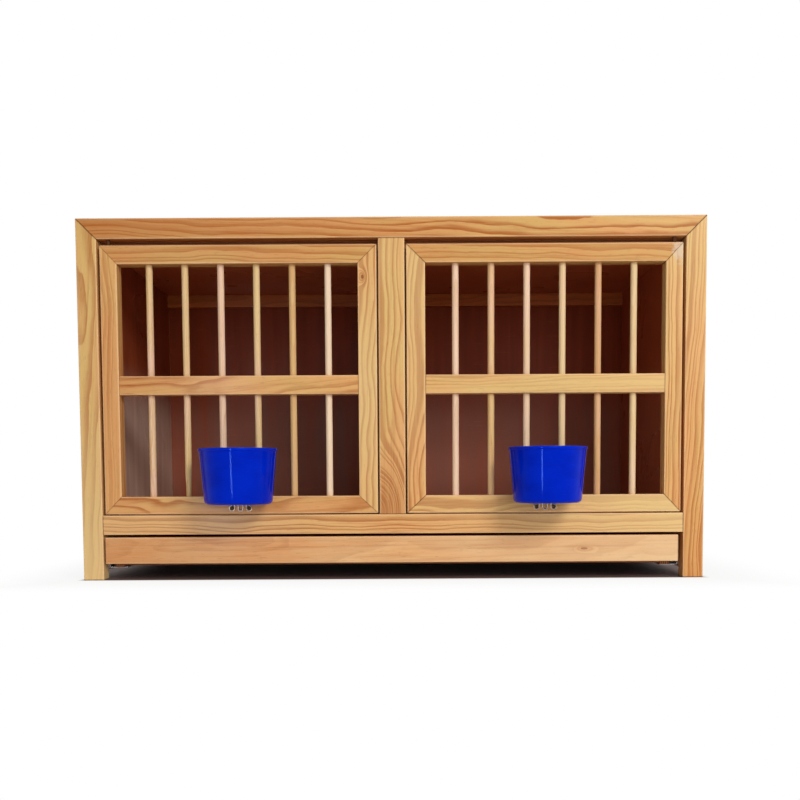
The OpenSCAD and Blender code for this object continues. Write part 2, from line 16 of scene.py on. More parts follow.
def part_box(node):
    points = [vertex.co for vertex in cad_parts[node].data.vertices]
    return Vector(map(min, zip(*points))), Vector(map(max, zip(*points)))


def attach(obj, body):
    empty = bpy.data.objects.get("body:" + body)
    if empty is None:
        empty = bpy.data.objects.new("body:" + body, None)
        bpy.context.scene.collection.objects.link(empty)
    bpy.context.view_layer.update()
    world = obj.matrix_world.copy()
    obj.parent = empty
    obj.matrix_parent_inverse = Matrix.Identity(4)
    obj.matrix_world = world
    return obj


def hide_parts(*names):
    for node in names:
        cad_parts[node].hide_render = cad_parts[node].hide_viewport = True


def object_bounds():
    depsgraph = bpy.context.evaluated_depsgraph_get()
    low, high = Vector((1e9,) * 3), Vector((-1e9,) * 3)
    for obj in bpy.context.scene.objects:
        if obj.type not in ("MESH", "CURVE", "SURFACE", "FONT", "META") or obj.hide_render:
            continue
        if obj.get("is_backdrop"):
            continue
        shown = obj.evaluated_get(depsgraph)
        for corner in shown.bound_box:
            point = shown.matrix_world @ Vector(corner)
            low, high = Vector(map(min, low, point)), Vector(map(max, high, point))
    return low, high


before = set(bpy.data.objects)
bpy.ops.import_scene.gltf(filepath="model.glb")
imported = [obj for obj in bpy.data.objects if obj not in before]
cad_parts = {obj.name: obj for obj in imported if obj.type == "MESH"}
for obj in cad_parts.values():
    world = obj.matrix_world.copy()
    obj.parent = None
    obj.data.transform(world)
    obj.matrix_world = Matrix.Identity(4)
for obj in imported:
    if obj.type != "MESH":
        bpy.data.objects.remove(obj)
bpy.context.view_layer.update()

LOG = logging.getLogger("cage")
MM = 0.001
UP = Vector((0.0, 0.0, 1.0))
BACK = Vector((0.0, 1.0, 0.0))
WHITE = (1.0, 1.0, 1.0, 1.0)
Colour = tuple[float, float, float, float]
Pair = tuple[float, float]
Three = tuple[float, float, float]
Socket = bpy.types.NodeSocket


class Side(Enum):
    """Which half of the cage a piece belongs to, with the sign of its X."""

    LEFT = -1
    RIGHT = 1

    def node(self, name: str) -> str:
        """Returns the name of this side's CAD node."""
        return f"{self.name.lower()}_{name}"


class Axis(Enum):
    """Way that a piece's grain runs: the coordinates of its length, its face's width and its depth."""

    X = (0, 2, 1)
    Y = (1, 0, 2)
    Z = (2, 0, 1)


class Slot(Enum):
    """Finishes that the record names."""

    PINE = "varnished_pine"
    BARS = "bar_wood"
    FILM = "brown_film_ply"
    ZINC = "zinc_steel"
    DARK = "dark_screw"
    BLUE = "blue_plastic"


def paint(red: int, green: int, blue: int) -> Colour:
    """Returns the linear colour, for a shader, of one given as a screen's shares of 255."""
    shares = [c / 255 for c in (red, green, blue)]
    return (*(c / 12.92 if c <= 0.04045 else ((c + 0.055) / 1.055) ** 2.4 for c in shares), 1.0)


def between(first: float, last: float, share: float) -> float:
    """Returns the number that lies a share of the way from first to last."""
    return first + (last - first) * share


def spaced(low: float, high: float, count: int) -> list[float]:
    """Returns numbers spread evenly from low to high."""
    return [between(low, high, i / (count - 1)) for i in range(count)]


class Wiring:
    """A material or world being wired, with a short word for each kind of node that it needs."""

    def __init__(self, owner: bpy.types.ID, end: str = "ShaderNodeOutputMaterial") -> None:
        """Clears the owner's nodes and adds its output.

        Args:
            owner: the material or world.
            end: the output's type in Blender.
        """
        owner.use_nodes = True
        self.tree = owner.node_tree
        self.tree.nodes.clear()
        self.end = self.tree.nodes.new(end).inputs["Surface"]

    def add(self, kind: str, feeds: dict[int | str, object], out: int | str = 0,
            **settings: object) -> Socket:
        """Adds a node.

        Args:
            kind: the node's type in Blender.
            feeds: for its inputs, by number or name, a socket to link or a plain value.
            out: the output that is wanted, by number or name.
            **settings: properties to set on the node.

        Returns:
            That output.
        """
        made = self.tree.nodes.new(kind)
        for name, value in settings.items():
            setattr(made, name, value)
        for key, value in feeds.items():
            if isinstance(value, Socket):
                self.tree.links.new(value, made.inputs[key])
            else:
                made.inputs[key].default_value = value
        return made.outputs[out]

    def show(self, surface: Socket) -> Socket:
        """Links a shader to the output, and returns it."""
        self.tree.links.new(surface, self.end)
        return surface

    def shade(self, **values: object) -> Socket:
        """Shows the main shader, fed by its sockets' names with an underscore for each space in them."""
        return self.show(self.add("ShaderNodeBsdfPrincipled",
                                  {name.replace("_", " "): value for name, value in values.items()}))

    def sum(self, operation: str, *values: object, clamp: bool = False) -> Socket:
        """Works out a number by the Math node's operation, kept between 0 and 1 if clamp is True."""
        return self.add("ShaderNodeMath", dict(enumerate(values)), operation=operation, use_clamp=clamp)

    def plus(self, first: object, second: object, clamp: bool = False) -> Socket:
        """Adds two numbers."""
        return self.sum("ADD", first, second, clamp=clamp)

    def minus(self, first: object, second: object) -> Socket:
        """Takes the second number from the first."""
        return self.sum("SUBTRACT", first, second)

    def times(self, first: object, second: object, clamp: bool = False) -> Socket:
        """Multiplies two numbers."""
        return self.sum("MULTIPLY", first, second, clamp=clamp)

    def most(self, first: object, second: object) -> Socket:
        """Returns the larger of two numbers."""
        return self.sum("MAXIMUM", first, second)

    def away(self, across: object, along: object) -> Socket:
        """Returns the distance of a point from the origin of its plane."""
        return self.sum("SQRT", self.plus(self.times(across, across), self.times(along, along)))

    def vector(self, operation: str, *values: object) -> Socket:
        """Works out one vector from others, by the Vector Math node's operation."""
        return self.add("ShaderNodeVectorMath", dict(enumerate(values)), operation=operation)

    def mark(self, name: str) -> Socket:
        """Returns the vector that the mesh carries under a mark's name, or 0 where it has none."""
        return self.add("ShaderNodeAttribute", {}, "Vector", attribute_name=name)

    def parts(self, vector: Socket) -> list[Socket]:
        """Returns the three numbers of a vector or colour."""
        return list(self.add("ShaderNodeSeparateXYZ", {0: vector}).node.outputs)

    def place(self) -> Socket:
        """Returns the place on the piece, in metres, which moves with the piece."""
        return self.add("ShaderNodeTexCoord", {}, "Object")

    def clouds(self, vector: Socket, per_metre: Three, detail: float = 2.0) -> Socket:
        """Returns a cloudy colour of mean 0.5, with so many patches a metre each way and finer octaves."""
        stretched = self.vector("MULTIPLY", vector, per_metre)
        return self.add("ShaderNodeTexNoise", {"Vector": stretched, "Scale": 1.0, "Detail": detail}, "Color")

    def cloud(self, vector: Socket, per_metre: Three, channel: int, detail: float = 2.0) -> Socket:
        """Returns one channel of the cloudy colour: others give patterns of their own."""
        return self.parts(self.clouds(vector, per_metre, detail))[channel]

    def spread(self, value: object, start: float, end: float, low: float = 0.0,
               high: float = 1.0) -> Socket:
        """Eases a number from low to high as value goes from start to end, and holds it outside them."""
        feeds = dict(enumerate((value, start, end, low, high)))
        return self.add("ShaderNodeMapRange", feeds, interpolation_type="SMOOTHSTEP")

    def coats(self, base: object, *coats: tuple[object, object]) -> Socket:
        """Lays coats over a colour.

        Args:
            base: the colour under them.
            *coats: each coat's share and its own colour.

        Returns:
            The colour with its coats.
        """
        for share, colour in coats:
            base = self.add("ShaderNodeMix", {0: share, 6: base, 7: colour}, 2, data_type="RGBA")
        return base

    def relief(self, height: object, depth: float, strength: float) -> Socket:
        """Raises and sinks the surface: depth is the height, in metres, that 1 stands for."""
        return self.add("ShaderNodeBump", {"Height": height, "Distance": depth, "Strength": strength})

    def seen(self) -> Socket:
        """Returns a socket that is 1 where the camera, a reflection or clear plastic shows the surface."""
        path = self.tree.nodes.new("ShaderNodeLightPath").outputs
        return self.most(self.most(path["Is Camera Ray"], path["Is Glossy Ray"]), path["Is Transmission Ray"])


@dataclass(frozen=True)
class Finish(ABC):
    """A finish: its name, the record's slot that it stands for, and the wiring of its material."""

    name: str
    slot: Slot

    @abstractmethod
    def wire(self, w: Wiring) -> None:
        """Wires the finish into a fresh material.

        Args:
            w: the wiring of that material.
        """

    def mixed(self) -> bpy.types.Material:
        """Returns this finish's material, wired the first time that it is asked for."""
        material = bpy.data.materials.get(self.name)
        if material is None:
            material = bpy.data.materials.new(self.name)
            self.wire(Wiring(material))
        return material


@dataclass(frozen=True)
class Pine(Finish):
    """Varnished pine, read from a stick's own marks for its grain, its timber and its worn arrises, which
    also carry a painted highlight.
    """

    straw: Colour = paint(222, 180, 108)
    rose: Colour = paint(228, 165, 102)
    late: Colour = paint(170, 88, 18)
    pale: Colour = paint(238, 206, 146)
    # colour of worn arrises, also a painted highlight along them
    worn_arris_and_highlight: Colour = paint(250, 206, 154)
    joint: Colour = paint(74, 36, 8)
    knot_wood: Colour = paint(112, 62, 26)
    filler: Colour = paint(222, 204, 182)
    ring_pitch: float = 5.0 * MM
    relief_depth: float = 0.16 * MM

    def wire(self, w: Wiring) -> None:
        """Wires annual rings sawn through at the stick's own angle, with fibres, pores, knots, wear with a
        painted highlight on the arrises, and painted light and shade along the stick.
        """
        grain = w.mark("grain")
        figure, warmth, light = w.parts(w.mark("timber"))
        worn, seam, _ = w.parts(w.mark("wear"))
        knot_x, knot_z, knot_on = w.parts(w.mark("knot"))
        knot = w.away(knot_x, knot_z)
        swirl = w.times(w.sum("ABSOLUTE", knot_on), w.sum("EXPONENT", w.times(w.times(knot, knot), -0.07)))

        swayed = grain
        for per_metre, sway in (((11, 11, 5), 21 * MM), ((70, 70, 22), 2.8 * MM)):
            stray = w.vector("SUBTRACT", w.clouds(grain, per_metre), (0.5, 0.5, 0.5))
            swayed = w.vector("ADD", swayed, w.vector("MULTIPLY", stray, (sway, sway, 0.0)))
        across, deep, _ = w.parts(swayed)
        reach = w.plus(w.away(across, deep), w.times(swirl, 3.4 * self.ring_pitch))
        years = w.add("ShaderNodeTexNoise", {"W": w.times(reach, 90.0), "Scale": 1.0}, noise_dimensions="1D")
        year = w.sum("FRACT", w.plus(w.sum("DIVIDE", reach, self.ring_pitch), w.times(years, 2.6)))
        late = w.times(w.spread(year, 0.22, 0.86), w.spread(year, 1.0, 0.90))
        strength = w.times(figure, w.spread(w.clouds(grain, (30, 30, 3)), 0.3, 0.72, 0.55, 1.2))
        ringed = w.times(late, w.plus(strength, w.times(swirl, 0.45)), clamp=True)

        fibre = w.cloud(grain, (1100, 1100, 16), 0, 3)
        streak = w.cloud(grain, (260, 260, 5), 1)
        pore = w.spread(w.cloud(grain, (1900, 1900, 90), 2, 1), 0.66, 0.74)
        patch = w.times(w.minus(w.cloud(grain, (40, 40, 8), 0), 0.5), 3.0)
        heart = w.times(knot_on, w.spread(knot, 1.25, 0.75), clamp=True)
        dust = w.times(seam, w.spread(w.cloud(grain, (200, 200, 200), 1), 0.2, 0.6, 0.55, 1.0))
        smear_x, smear_z, smear_on = w.parts(w.mark("filler"))
        smear = w.plus(w.away(smear_x, smear_z), w.times(w.cloud(grain, (260, 260, 260), 0, 3), 2.4))
        height = w.plus(w.times(ringed, 0.45), w.times(fibre, 0.5))
        w.shade(
            Base_Color=w.coats(
                self.straw,
                (w.plus(w.plus(warmth, patch), w.times(swirl, 0.6), clamp=True), self.rose),
                (w.times(swirl, 0.24, clamp=True), self.late),
                (w.spread(streak, 0.50, 0.72, 0.0, 0.34), self.late),
                (w.times(ringed, 0.92), self.late),
                (w.spread(fibre, 0.35, 0.75, 0.0, 0.22), self.pale),
                (w.times(pore, 0.30), self.joint),
                # painted light and shade: the light mark pales or darkens the wood, partly its own tone and
                # partly for how much lamp light falls on the piece
                (w.times(light, 1.0, clamp=True), self.pale),
                (w.times(light, -1.0, clamp=True), self.late),
                (w.times(knot_on, w.spread(knot, 4.2, 1.0, 0.0, 0.55), clamp=True), self.late),
                (heart, self.knot_wood),
                (w.times(heart, w.spread(knot, 0.55, 0.95)), self.joint),
                # painted highlight: the arrises are paled, partly wear and partly a painted highlight along
                # each edge
                (w.times(worn, 0.6), self.worn_arris_and_highlight),
                (w.times(dust, 0.85), self.joint),
                (w.times(smear_on, w.spread(smear, 2.6, 1.5, 0.0, 0.8)), self.filler)),
            Roughness=w.plus(w.plus(w.times(fibre, 0.16), w.times(seam, 0.2)), 0.36),
            Normal=w.relief(w.minus(height, w.times(pore, 0.6)), self.relief_depth, 0.55),
            Coat_Weight=0.08, Coat_Roughness=0.16, Specular_IOR_Level=0.08)


@dataclass(frozen=True)
class FilmPly(Finish):
    """Plywood under a smooth red-brown film, with its plies at the edges."""

    film: Colour = paint(152, 57, 31)
    deep: Colour = paint(120, 40, 21)
    # colour of scuffs, and the paler colour that faces are painted as light
    worn: Colour = paint(206, 114, 70)
    # colour of dust, also used for the painted light low on the walls
    dust: Colour = paint(226, 198, 180)
    # height below which dust and painted light pale the walls
    dust_top: float = 300 * MM
    light_ply: Colour = paint(176, 126, 84)
    dark_ply: Colour = paint(112, 66, 40)
    plies: float = 9.0

    def wire(self, w: Wiring) -> None:
        """Wires the film, the veneer that shows faintly through it, scuffs, paler faces as painted light,
        dust with painted light towards the bottom, and the plies.
        """
        ply = w.mark("ply")
        depth = w.parts(ply)[2]
        dust_and_painted_light, painted_light, _ = w.parts(w.mark("face"))
        place = w.place()
        faint = w.cloud(ply, (3, 55, 0), 0)
        cloud = w.cloud(place, (7, 7, 7), 1, 3)
        scuff = w.spread(w.cloud(ply, (300, 24, 0), 2, 3), 0.63, 0.72)
        # dust and painted light: the film paled towards the bottom, partly settled dust and partly painted
        # light
        dust_and_light_share = w.times(dust_and_painted_light, w.spread(w.parts(place)[2], self.dust_top, 0.7 * self.dust_top))
        face = w.coats(
            self.deep, (w.spread(faint, 0.3, 0.7), self.film),
            (w.spread(cloud, 0.35, 0.8, 0.0, 0.35), self.deep),
            # painted light: faces paled towards the worn colour by painted_light
            (w.times(scuff, 0.14), self.worn), (painted_light, self.worn),
            (w.times(dust_and_light_share, w.spread(faint, 0.2, 0.8, 1.0, 0.6)), self.dust))
        edge = w.coats(
            self.light_ply,
            (w.spread(w.sum("FRACT", w.times(depth, self.plies / 2)), 0.46, 0.54), self.dark_ply),
            (w.spread(w.cloud(place, (900, 900, 900), 0), 0.3, 0.8, 0.0, 0.4), self.dark_ply))
        inside = w.times(w.spread(depth, 0.04, 0.06), w.spread(depth, 0.96, 0.94))
        w.shade(Base_Color=w.coats(face, (inside, edge)), Specular_IOR_Level=0.04,
                Roughness=w.plus(w.times(inside, 0.35), w.spread(cloud, 0.3, 0.8, 0.26, 0.40)),
                Normal=w.relief(w.plus(w.times(faint, 0.6), w.times(cloud, 0.8)), 0.35 * MM, 0.35))


@dataclass(frozen=True)
class BluePlastic(Finish):
    """Glossy moulded plastic with flow marks, fine scratches and a paler worn rim."""

    blue: Colour = paint(0, 38, 198)
    deep: Colour = paint(0, 27, 172)
    pale: Colour = paint(60, 92, 225)
    gloss: Colour = paint(110, 160, 255)

    def wire(self, w: Wiring) -> None:
        """Wires the colour's slow changes, the scratches in its gloss and the moulding's ripple."""
        place = w.place()
        flow = w.cloud(place, (18, 18, 40), 0)
        scratch = w.spread(w.cloud(place, (90, 90, 1400), 1, 3), 0.60, 0.70)
        worn = w.parts(w.mark("wear"))[0]
        w.shade(Base_Color=w.coats(self.blue, (w.spread(flow, 0.3, 0.7, 0.0, 0.6), self.deep),
                                   (w.times(scratch, 0.08), self.pale), (w.times(worn, 0.3), self.pale)),
                Roughness=w.plus(w.times(scratch, 0.06), w.spread(flow, 0.3, 0.7, 0.05, 0.08)),
                Normal=w.relief(flow, 0.5 * MM, 0.15), Specular_IOR_Level=0.10, Specular_Tint=self.gloss)


@dataclass(frozen=True)
class Steel(Finish):
    """Bare or plated steel: its colour, how rough it is, and the size of its crystals in metres."""

    light: Colour
    dark: Colour
    rough: float
    crystal: float
    metal: float = 1.0
    gloss: float = 0.5

    def wire(self, w: Wiring) -> None:
        """Wires the crystals of the plating, dull specks and fine wear."""
        place = w.place()
        cell = w.add("ShaderNodeTexVoronoi", {"Vector": place, "Scale": 1.0 / self.crystal}, "Color")
        tone = w.parts(cell)[0]
        speck = w.cloud(place, (1600, 1600, 1600), 0, 3)
        w.shade(Base_Color=w.coats(self.light, (w.times(tone, 0.55), self.dark),
                                   (w.spread(speck, 0.55, 0.75, 0.0, 0.5), self.dark)),
                Metallic=self.metal, Specular_IOR_Level=self.gloss, Normal=w.relief(speck, 0.05 * MM, 0.3),
                Roughness=w.plus(w.times(tone, 0.10),
                                 w.spread(speck, 0.3, 0.8, self.rough, self.rough + 0.14)))


@dataclass(frozen=True)
class Shop:
    """Every finish that the cage needs."""

    pine: Pine = Pine("planed_pine", Slot.PINE)
    bars: Pine = Pine("turned_bar_pine", Slot.BARS, straw=paint(228, 194, 134), rose=paint(240, 196, 170),
                      late=paint(204, 144, 82), pale=paint(248, 228, 196), ring_pitch=2.6 * MM)
    rosy: Pine = Pine("rosy_pine", Slot.PINE, straw=paint(234, 187, 131), rose=paint(230, 168, 108),
                      late=paint(184, 108, 52), pale=paint(240, 212, 172))
    stained: Pine = Pine("stained_pine", Slot.PINE, straw=paint(204, 112, 50), rose=paint(208, 112, 52),
                         late=paint(166, 82, 34), pale=paint(212, 136, 72), worn_arris_and_highlight=paint(212, 130, 66))
    film: FilmPly = FilmPly("film_faced_plywood", Slot.FILM)
    blue: BluePlastic = BluePlastic("moulded_blue", Slot.BLUE)
    zinc: Steel = Steel("galvanised_sheet", Slot.ZINC, paint(206, 208, 210), paint(150, 154, 158),
                        0.42, 9 * MM, 0.7)
    wire: Steel = Steel("bright_wire", Slot.ZINC, paint(184, 166, 150), paint(136, 122, 110), 0.3, 1.2 * MM)
    screw: Steel = Steel("zinc_screw", Slot.ZINC, paint(214, 206, 186), paint(150, 142, 122), 0.26, 1.5 * MM)
    # painted shade: pins and washers coloured dark brown so they sit unseen in the shaded gaps by the hinges
    dull: Steel = Steel("oiled_steel", Slot.ZINC, paint(92, 56, 32), paint(66, 40, 24),
                        0.55, 1.5 * MM, 0.1, 0.08)
    dark: Steel = Steel("browned_screw", Slot.DARK, paint(104, 76, 52), paint(62, 44, 30),
                        0.38, 1.5 * MM, 0.7)


@dataclass(frozen=True)
class Timber:
    """How a stick was sawn from its log, and what its wood is like.

    heart is where the log's heart lies from the stick's middle, across the face and in depth, and
    drift is how far it strays from the stick over a metre. figure is the strength of the rings.
    warmth goes from straw (0) to rose (1) and light from darker (below 0) to paler (above 0), each
    at the stick's start, middle and end; light is partly the wood's own tone and partly painted light
    and shade, a piece or one end of it made paler or darker for the light that falls on it. start is
    how far up the log the stick began.
    """

    heart: Pair
    drift: Pair
    figure: float
    warmth: Three
    light: Three
    start: float

    def marks(self, across: float, deep: float, run: float, share: float) -> dict[str, Vector]:
        """What the finish reads at a point of the stick.

        Args:
            across: the point's place across the face, from the stick's middle.
            deep: its place in depth, from the middle.
            run: its distance from the stick's start.
            share: that distance as a share of the stick's length.

        Returns:
            The point's place in the log, and the wood's figure, warmth and light there.
        """
        half = min(int(2 * share), 1)
        tones = (between(*tone[half:half + 2], 2 * share - half) for tone in (self.warmth, self.light))
        return {"grain": Vector((across - self.heart[0] - self.drift[0] * run,
                                 deep - self.heart[1] - self.drift[1] * run, run + self.start)),
                "timber": Vector((self.figure, *tones))}

    @staticmethod
    def from_stock(name: str) -> "Timber":
        """Picks a stick from the pile.

        Args:
            name: the stick's name, which always picks the same one.

        Returns:
            The stick.
        """
        pick = random.Random(name)
        angle = pick.uniform(0.0, math.tau)
        far = pick.uniform(0.03, 0.09)
        return Timber(
            heart=(far * math.cos(angle), far * math.sin(angle)),
            drift=(pick.uniform(-0.05, 0.05), pick.uniform(-0.04, 0.04)),
            figure=pick.uniform(0.6, 0.95),
            warmth=tuple(pick.uniform(0.15, 0.85) for _ in range(3)),
            light=tuple(pick.uniform(-0.12, 0.12) for _ in range(3)),
            start=pick.uniform(0.0, 40.0))


@dataclass(frozen=True)
class Blemish:
    """A knot or a smear of filler: its middle and half sizes in X and Z, in metres, and its strength.

    A knot of a strength below 0 only makes the rings swirl: it has no dark heart.
    """

    at: Pair
    half: Pair
    strength: float

    def mark(self, point: Vector) -> Vector:
        """Returns how far a point lies from the blemish, counted in its own half sizes, and its strength."""
        return Vector(((point.x - self.at[0]) / self.half[0], (point.z - self.at[1]) / self.half[1],
                       self.strength))


@dataclass
class Skin:
    """A piece's mesh under construction: points, faces and, by point number, what its finish reads."""

    points: list[Vector] = field(default_factory=list)
    faces: list[list[int]] = field(default_factory=list)
    marks: dict[str, dict[int, Vector]] = field(default_factory=dict)

    def ring(self, points: Sequence[Vector], marks: Sequence[dict[str, Vector]] = ()) -> list[int]:
        """Adds a closed row of points.

        Args:
            points: the points, in order round the piece.
            marks: for each point, what its finish reads there.

        Returns:
            The points' numbers.
        """
        first = len(self.points)
        self.points.extend(points)
        for number, read in enumerate(marks, first):
            for name, value in read.items():
                self.marks.setdefault(name, {})[number] = value
        return list(range(first, len(self.points)))

    def bridge(self, first: Sequence[int], second: Sequence[int]) -> None:
        """Spans two rings with four-sided faces.

        Args:
            first: the numbers of one ring's points.
            second: the numbers of the other's, as many.
        """
        for i in range(len(first)):
            j = (i + 1) % len(first)
            self.faces.append([first[i], first[j], second[j], second[i]])

    def loft(self, rings: Sequence[Sequence[int]]) -> None:
        """Spans a row of rings and closes its two ends.

        Args:
            rings: the numbers of each ring's points, in order.
        """
        for first, second in zip(rings, rings[1:]):
            self.bridge(first, second)
        self.faces += [list(rings[0]), list(rings[-1])]

    def piece(self, node: str, finish: Finish, body: str, name: str = "",
              smooth_deg: float = 38.0) -> bpy.types.Object:
        """Makes the Blender object.

        Args:
            node: the CAD node that it stands for.
            finish: its finish.
            body: the CAD body that it moves with.
            name: its name, where that isn't the node's.
            smooth_deg: edges that turn more than this stay sharp.

        Returns:
            The new object, riding on its body.
        """
        name = name or node.replace("_", "-")
        mesh = bpy.data.meshes.new(name)
        mesh.from_pydata([tuple(p) for p in self.points], [], self.faces)
        for mark, values in self.marks.items():
            layer = mesh.attributes.new(mark, "FLOAT_VECTOR", "POINT")
            layer.data.foreach_set("vector", [c for i in range(len(self.points))
                                              for c in values.get(i, (0.0, 0.0, 0.0))])
        work = bmesh.new()
        work.from_mesh(mesh)
        bmesh.ops.recalc_face_normals(work, faces=work.faces)
        work.to_mesh(mesh)
        work.free()
        mesh.polygons.foreach_set("use_smooth", [True] * len(mesh.polygons))
        mesh.set_sharp_from_angle(angle=math.radians(smooth_deg))
        mesh.materials.append(finish.mixed())
        made = put(name, mesh)
        made.modifiers.new("even_shading", "WEIGHTED_NORMAL").keep_sharp = True
        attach(made, body)
        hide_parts(node)
        LOG.info("%s: %d faces, on %s", name, len(mesh.polygons), body)
        return made


def put(name: str, data: bpy.types.ID) -> bpy.types.Object:
    """Places a mesh, lamp or camera in the scene.

    Args:
        name: the new object's name.
        data: what it shows.

    Returns:
        The new object.
    """
    made = bpy.data.objects.new(name, data)
    bpy.context.scene.collection.objects.link(made)
    return made


def circle(radius: float, sides: int) -> list[Vector]:
    """Returns points evenly round a circle."""
    turns = [math.tau * i / sides for i in range(sides)]
    return [Vector((radius * math.cos(a), radius * math.sin(a))) for a in turns]


def arc(middle: Pair, radius: float, start: float, end: float, spans: int) -> list[Pair]:
    """Points along a round bend.

    Args:
        middle: its centre.
        radius: its radius.
        start: angle of the first point, in degrees.
        end: angle of the last one.
        spans: number of spans between points.

    Returns:
        The points.
    """
    turns = [math.radians(turn) for turn in spaced(start, end, spans + 1)]
    return [(middle[0] + radius * math.cos(a), middle[1] + radius * math.sin(a)) for a in turns]


def section(width: float, depth: float, ease: float, shoulder: float) -> list[Three]:
    """Outline of a stick's or a board's section.

    Args:
        width: size across the face.
        depth: size from front to back.
        ease: radius of its arrises.
        shoulder: how far beside an arris the wear and painted highlight on it end.

    Returns:
        For each point, its place across and in depth from the middle, and how worn it is, which also paints a
        highlight.
    """
    ease, shoulder = min(ease, width / 4, depth / 4), min(shoulder, width / 5, depth / 5)
    made = []
    for side_x, side_y, out in ((1, 1, (1, 0)), (-1, 1, (0, 1)), (-1, -1, (-1, 0)), (1, -1, (0, -1))):
        middle = Vector((side_x * (width / 2 - ease), side_y * (depth / 2 - ease)))
        out = Vector(out)
        way = Vector((-out.y, out.x))
        made.append((*(middle + ease * out - shoulder * way), 0.0))
        for part, worn in ((0, 0.5), (30, 1.0), (60, 1.0), (90, 0.5)):
            a = math.radians(part)
            made.append((*(middle + ease * (math.cos(a) * out + math.sin(a) * way)), worn))
        made.append((*(middle + ease * way - shoulder * out), 0.0))
    return made


class Sawn(ABC):
    """A piece of timber or board that fills a box.

    start and end say how far its ends stop short at the low and at the high side of its face, as for
    a mitre. ease is the radius of its arrises, shoulder how far beside them their wear and painted
    highlight end, and step the distance between its rings of points.
    """

    start: Pair = (0.0, 0.0)
    end: Pair = (0.0, 0.0)
    ease: float = 0.5 * MM
    shoulder: float = 0.8 * MM
    step: float = math.inf
    hollow: ClassVar[float] = 0.06 * MM

    @abstractmethod
    def ways(self) -> tuple[int, int, int]:
        """Returns the coordinates of its length, its face's width and its depth."""

    @abstractmethod
    def near(self) -> list[Three]:
        """Returns each ring at an end: how far in it lies, its inset and how dark the dirt there is."""

    @abstractmethod
    def reads(self, point: Vector, spot: Three, size: Three, worn: float, seam: float) -> dict[str, Vector]:
        """What the finish reads at a point.

        Args:
            point: the point.
            spot: its distance from the start, and its place across and in depth from the middle.
            size: the piece's length, width and depth.
            worn: how worn it is, which also paints a highlight on the arrises.
            seam: how dark the dirt there is.

        Returns:
            The marks.
        """

    def grow(self, skin: Skin, low: Vector, high: Vector) -> None:
        """Adds the piece to a mesh.

        Args:
            skin: the mesh.
            low: lowest corner of its box.
            high: highest corner of it.
        """
        along, face, depth = self.ways()
        middle = (low + high) / 2
        size = tuple((high - low)[i] for i in (along, face, depth))
        count = max(1, round(size[0] / self.step))
        stops = [(0.0, *stop) for stop in self.near()]
        stops += [(i / count, 0.0, self.hollow, 0.0) for i in range(1, count)]
        stops += [(1.0, -past, inset, seam) for past, inset, seam in self.near()[::-1]]
        rings = []
        for share, past, inset, seam in stops:
            points, marks = [], []
            for across, deep, worn in section(size[1] - 2 * inset, size[2] - 2 * inset,
                                              self.ease, self.shoulder):
                side = across / size[1] + 0.5
                first, last = low[along] + between(*self.start, side), high[along] - between(*self.end, side)
                point = middle.copy()
                point[along] = between(first, last, share) + past
                point[face] += across
                point[depth] += deep
                points.append(point)
                marks.append(self.reads(point, (point[along] - low[along], across, deep), size, worn, seam))
            rings.append(skin.ring(points, marks))
        skin.loft(rings)

    def piece(self, node: str, finish: Finish, body: str) -> bpy.types.Object:
        """Makes the piece in the place of a CAD node.

        Args:
            node: the node.
            finish: the piece's finish.
            body: the CAD body that it moves with.

        Returns:
            The new object.
        """
        skin = Skin()
        self.grow(skin, *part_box(node))
        return skin.piece(node, finish, body)


@dataclass
class Stick(Sawn):
    """A planed stick.

    seam is how dark the dirt in its joints is, and marred holds its knot and its filler, if any.
    """

    axis: Axis
    timber: Timber
    start: Pair = (0.0, 0.0)
    end: Pair = (0.0, 0.0)
    ease: float = 1.1 * MM
    shoulder: float = 1.3 * MM
    seam: float = 1.0
    step: float = 24 * MM
    marred: dict[str, Blemish] = field(default_factory=dict)

    def ways(self) -> tuple[int, int, int]:
        """Returns the coordinates of its length, its face's width and its depth."""
        return self.axis.value

    def near(self) -> list[Three]:
        """Returns the rings of an end that is eased where it meets another stick, with dirt in the joint."""
        bevel = 0.45 * MM * min(1.0, self.seam + 0.4)
        return [(0.0, bevel, self.seam), (bevel, 0.0, 0.7 * self.seam), (bevel + 1.3 * MM, 0.0, 0.0)]

    def reads(self, point: Vector, spot: Three, size: Three, worn: float, seam: float) -> dict[str, Vector]:
        """Returns the marks that Pine reads."""
        return {**self.timber.marks(spot[1], spot[2], spot[0], spot[0] / size[0]),
                "wear": Vector((worn, seam, 0.0)),
                **{name: blemish.mark(point) for name, blemish in self.marred.items()}}


@dataclass
class Board(Sawn):
    """A panel of film-faced plywood with its thickness along one coordinate and its veneer along another.

    dust_and_painted_light says how much its film pales towards the bottom, partly with dust and partly
    as painted light, and painted_light how much paler it is painted as light, on its lower and on its
    higher face.
    """

    thick: int
    along: int
    dust_and_painted_light: Pair = (0.0, 0.0)
    painted_light: Pair = (0.0, 0.0)

    def ways(self) -> tuple[int, int, int]:
        """Returns the coordinate that its rings follow, its veneer's and its thickness's."""
        return (3 - self.thick - self.along, self.along, self.thick)

    def near(self) -> list[Three]:
        """Returns the rings of an eased edge."""
        return [(past * self.ease, inset * self.ease, 0.0)
                for past, inset in ((0.0, 1.0), (0.3, 0.3), (1.0, 0.0))]

    def reads(self, point: Vector, spot: Three, size: Three, worn: float, seam: float) -> dict[str, Vector]:
        """Returns the marks that FilmPly reads."""
        sweep, along, _ = self.ways()
        face = 0 if spot[2] < 0 else 1
        return {"ply": Vector((point[along], point[sweep], spot[2] / size[2] + 0.5)),
                "face": Vector((self.dust_and_painted_light[face], self.painted_light[face], 0.0))}


